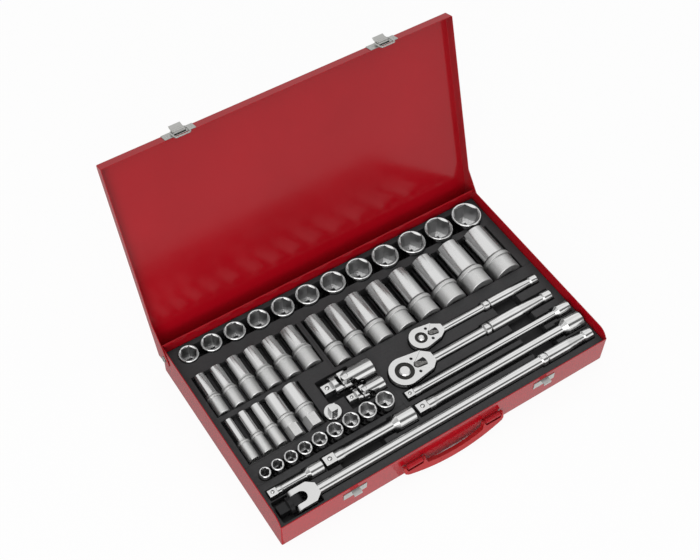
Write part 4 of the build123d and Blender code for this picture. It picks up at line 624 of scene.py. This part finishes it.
# Rivets of the latch plates and catches; the plates' places are those of the shut lid
RIVET_HEAD = 1.7 * MM
RIVET_RISE = 0.7 * MM
HINGE_TURN = radians(-108)
LATCH_X = 140 * MM
PLATE_RIVET_X = 15.6 * MM
PLATE_FRONT = 2.4 * MM
PLATE_BELOW_RIM = 4.6 * MM
CATCH_RIVET_X = 10.8 * MM
CATCH_FRONT = 1.0 * MM

rivet_profile = cap(RIVET_HEAD, RIVET_RISE) + [(RIVET_HEAD, -BALL_SINK, ROUND), (0, -BALL_SINK, ROUND)]
base_low, base_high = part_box("case_base")
hinge = middle("hinge_rivets")
to_hinge = Matrix.Translation((0, hinge.y, hinge.z))
from_hinge = Matrix.Translation((0, -hinge.y, -hinge.z))
to_open = to_hinge @ Matrix.Rotation(HINGE_TURN, 4, "X") @ from_hinge
plate_face = Vector((0, base_low.y - PLATE_FRONT, base_high.z - PLATE_BELOW_RIM))
plate_outward = to_open.to_3x3() @ Vector(TO_FRONT)
catch_face = Vector((0, base_low.y - CATCH_FRONT, middle("latch_catches").z))
for hand, latch_x in (("left", -LATCH_X), ("right", LATCH_X)):
    for side, offset in (("a", -1), ("b", 1)):
        name = f"latch_rivet_{hand}_{side}"
        spot = to_open @ (plate_face + Vector((latch_x + offset * PLATE_RIVET_X, 0, 0)))
        set_piece(name, turned_mesh(name, rivet_profile), "nickel", "lid", spot, plate_outward)
        name = f"catch_rivet_{hand}_{side}"
        spot = catch_face + Vector((latch_x + offset * CATCH_RIVET_X, 0, 0))
        set_piece(name, turned_mesh(name, rivet_profile), "nickel", "case", spot, TO_FRONT)

# Carrying handle: a smooth arched bow in the place of the plainer solid, and its rods
HANDLE_REST = radians(71)
BOW_INNER = 12.5 * MM
BOW_INNER_END = 7.2 * MM
BOW_OUTER = 20.5 * MM
BOW_OUTER_END = 9.5 * MM
BOW_HALF_THICKNESS = 3.0 * MM
BOW_ROUNDING = 1.5 * MM
BOW_STEPS = 14
WEB_TOP = -2.0 * MM
WEB = 3.5 * MM
EYE_START = 46.0 * MM
EYE_END = 70.0 * MM
EYE_DEPTH = 6.0 * MM
END_CORNER = 3.5 * MM
ROD_RADIUS = 2.0 * MM


def bow_outline():
    """Half of the bow's outline, from the middle of its inner edge round to its outer edge."""
    web_in, web_out = EYE_START - WEB, EYE_END + WEB
    points = []
    for step in range(BOW_STEPS + 1):
        part = step / BOW_STEPS
        points.append((web_in * part, BOW_INNER - (BOW_INNER - BOW_INNER_END) * part**2))
    points += [(web_in, WEB_TOP), (EYE_START, WEB_TOP), (EYE_START, EYE_DEPTH), (EYE_END, EYE_DEPTH),
               (EYE_END, WEB_TOP), (web_out, WEB_TOP)]
    corner_x, corner_y = web_out - END_CORNER, BOW_OUTER_END - END_CORNER
    for step in range(ROUND_STEPS):
        angle = pi / 2 * step / ROUND_STEPS
        points.append((corner_x + END_CORNER * cos(angle), corner_y + END_CORNER * sin(angle)))
    for step in range(BOW_STEPS, -1, -1):
        part = step / BOW_STEPS
        points.append((corner_x * part, BOW_OUTER - (BOW_OUTER - BOW_OUTER_END) * part**2))
    return points


rod_middle = Vector(joint_place("handle_swing"))
in_plane = Vector((0, -cos(HANDLE_REST), -sin(HANDLE_REST)))
across = Vector(TO_RIGHT).cross(in_plane)
bow_place = Matrix((
    (1, in_plane.x, across.x, rod_middle.x), (0, in_plane.y, across.y, rod_middle.y),
    (0, in_plane.z, across.z, rod_middle.z), (0, 0, 0, 1)))
half_bow = bow_outline()
whole_bow = half_bow + [(-x, y) for x, y in reversed(half_bow[1:-1])]
bow_mesh = plate_mesh("carry_handle_bow", whole_bow, BOW_HALF_THICKNESS, BOW_ROUNDING)
bow = add_piece("carry_handle_bow", bow_mesh, "red_plastic", "handle", bow_place)
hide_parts("carry_handle")
rod_half = (EYE_END - EYE_START + WEB) / 2
rod_profile = [
    (0, rod_half, ROUND), (ROD_RADIUS, rod_half, ROUND), (ROD_RADIUS, -rod_half, ROUND),
    (0, -rod_half, ROUND)]
for hand, sign in (("left", -1), ("right", 1)):
    name = f"handle_rod_{hand}"
    spot = rod_middle + Vector((sign * (EYE_START + EYE_END) / 2, 0, 0))
    set_piece(name, turned_mesh(name, rod_profile), "red_plastic", "handle", spot, TO_RIGHT)

# Floor: its levels, and areas in x and y, in metres: beside the case's left side it is mirrored darker as painted
# shade, and at the handle it shows its own lit shading instead of white
FLOOR_HALF = 6.0
FLOOR_DROP = 0.5 * MM
PAPER = (0.9, 0.9, 0.9)
PAPER_ROUGHNESS = 0.9
CAMERA_SHARE = 0.93
MIRRORED = (0.9, 0.9, 0.9)
MIRRORED_SHADE_LEFT = (0.42, 0.42, 0.42)
PAINTED_SHADE_LEFT = ((-0.6, -0.235), (-0.16, 0.5))
UNDER_HANDLE = ((-0.075, 0.075), (-0.16, -0.138))
BEHIND_HANDLE = ((-0.06, 0.06), (-0.1444, -0.138))


def floor_material():
    """White paper that shows as white, keeps the object's shadow and is mirrored at its own level, darker beside
    the case's left side as painted shade.
    """
    material, tree, shader = new_material("floor", PAPER, 0.0)
    shader.inputs["Roughness"].default_value = PAPER_ROUGHNESS
    shader.inputs["Specular IOR Level"].default_value = 0.0
    light = add_node(tree, "ShaderNodeLightPath")
    in_mirror = light.outputs["Is Glossy Ray"]
    seen = calculate(tree, "MULTIPLY", light.outputs["Is Camera Ray"], outside_box(tree, BEHIND_HANDLE))
    mirrored = calculate(tree, "MULTIPLY", in_mirror, outside_box(tree, UNDER_HANDLE))
    white_share = calculate(tree, "MULTIPLY_ADD", seen, CAMERA_SHARE, mirrored)
    # Beside the case's left side, reflections show the floor darker: painted shade, seen only in reflections.
    mirror_level = mix_colors(tree, inside_box(tree, PAINTED_SHADE_LEFT), MIRRORED, MIRRORED_SHADE_LEFT)
    white = add_node(tree, "ShaderNodeEmission")
    tree.links.new(mix_colors(tree, in_mirror, WHITE, mirror_level), white.inputs["Color"])
    mixed = add_node(tree, "ShaderNodeMixShader")
    for socket, source in zip(mixed.inputs, (white_share, shader.outputs[0], white.outputs[0])):
        tree.links.new(source, socket)
    tree.links.new(mixed.outputs[0], tree.nodes["Material Output"].inputs["Surface"])
    return material


floor_mesh = bpy.data.meshes.new("floor")
floor_mesh.from_pydata(
    [(-FLOOR_HALF, -FLOOR_HALF, 0), (FLOOR_HALF, -FLOOR_HALF, 0), (FLOOR_HALF, FLOOR_HALF, 0),
     (-FLOOR_HALF, FLOOR_HALF, 0)], [], [(0, 1, 2, 3)])
floor_mesh.materials.append(floor_material())
floor = bpy.data.objects.new("floor", floor_mesh)
floor.location.z = -FLOOR_DROP
scene.collection.objects.link(floor)

# World: a plain pale room, white to the camera; mirrors show a studio's soft strips, given by degrees
# from overhead, that fade out to the sides
SKY_LOW = 0.52
SKY_HIGH = 0.35
STRIPS = (
    (-90, 0.5), (-80, 0.95), (-53, 0.95), (-46, 0.16), (-21, 0.12), (-13, 0.85), (8, 0.95), (24, 0.8),
    (42, 0.78), (58, 0.95), (76, 0.85), (90, 0.2))
STRIP_HALF = 0.5
STRIP_END = 0.85
SIDE_LEVEL = (0.36, 0.36, 0.36)
QUARTER = 90


def studio_strips(sky, direction):
    """The strips that mirrors show."""
    tilt = calculate(sky, "ARCTAN2", direction["Y"], direction["Z"])
    ramp = add_node(sky, "ShaderNodeValToRGB")
    stops = ramp.color_ramp.elements
    for degrees, _ in STRIPS[1:-1]:
        stops.new((degrees + QUARTER) / (2 * QUARTER))
    for stop, (_, level) in zip(stops, STRIPS):
        stop.color = (level, level, level, 1)
    sky.links.new(map_range(sky, tilt, (-pi / 2, pi / 2), (0, 1)), ramp.inputs["Fac"])
    sideways = calculate(sky, "ABSOLUTE", direction["X"])
    fading = map_range(sky, sideways, (STRIP_HALF, STRIP_END), (0, 1))
    return mix_colors(sky, fading, ramp.outputs["Color"], SIDE_LEVEL)


world = bpy.data.worlds.new("studio")
world.use_nodes = True
scene.world = world
sky = world.node_tree
direction = split_vector(sky, add_node(sky, "ShaderNodeTexCoord").outputs["Generated"])
room = map_range(sky, direction["Z"], (0, 1), (SKY_LOW, SKY_HIGH))
rays = add_node(sky, "ShaderNodeLightPath")
lit = mix_colors(sky, rays.outputs["Is Glossy Ray"], room, studio_strips(sky, direction))
shown_world = mix_colors(sky, rays.outputs["Is Camera Ray"], lit, WHITE)
background = sky.nodes["Background"]
sky.links.new(shown_world, background.inputs["Color"])
background.inputs["Strength"].default_value = 1.0


# Lamps: places and sizes in metres, power in watts
def soft_light(name, at, aim, size, power, mirrored=True):
    """A soft box aimed at a point; one that isn't mirrored shows in no reflection."""
    data = bpy.data.lights.new(name, "AREA")
    data.shape = "RECTANGLE"
    data.size, data.size_y = size
    data.energy = power
    lamp = bpy.data.objects.new(name, data)
    lamp.location = at
    lamp.rotation_euler = (Vector(aim) - Vector(at)).to_track_quat("-Z", "Y").to_euler()
    lamp.visible_camera = False
    lamp.visible_glossy = mirrored
    scene.collection.objects.link(lamp)


soft_light("key", at=(-1.3, -1.4, 1.8), aim=(0, 0, 0), size=(2.4, 2.4), power=21)
soft_light("top", at=(0.3, 0.9, 2.4), aim=(0, 0, 0), size=(3.6, 2.8), power=27, mirrored=False)
soft_light("fill", at=(-1.1, -1.35, 0.5), aim=(0, -0.1, 0), size=(1.2, 0.6), power=8.5, mirrored=False)

# Camera, at the photograph's view
IMAGE_WIDTH = 700
FOCAL_PIXELS = 1208.34
SENSOR_WIDTH = 36.0
CAMERA_TARGET = Vector((0.02821, 0.12457, 0.01846))
CAMERA_DISTANCE = 1.60104
CAMERA_AZIMUTH = radians(-34.86)
CAMERA_ELEVATION = radians(53.24)
CAMERA_ROLL = radians(2.0)

level_share = cos(CAMERA_ELEVATION)
view_back = Vector((
    sin(CAMERA_AZIMUTH) * level_share, -cos(CAMERA_AZIMUTH) * level_share, sin(CAMERA_ELEVATION)))
camera_data = bpy.data.cameras.new("camera")
camera_data.sensor_width = SENSOR_WIDTH
camera_data.lens = FOCAL_PIXELS / IMAGE_WIDTH * SENSOR_WIDTH
camera = bpy.data.objects.new("camera", camera_data)
camera.rotation_mode = "QUATERNION"
turn = (-view_back).to_track_quat("-Z", "Y")
camera.rotation_quaternion = turn @ Matrix.Rotation(CAMERA_ROLL, 3, "Z").to_quaternion()
camera.location = CAMERA_TARGET + view_back * CAMERA_DISTANCE
scene.collection.objects.link(camera)
scene.camera = camera
scene.view_settings.view_transform = "Standard"
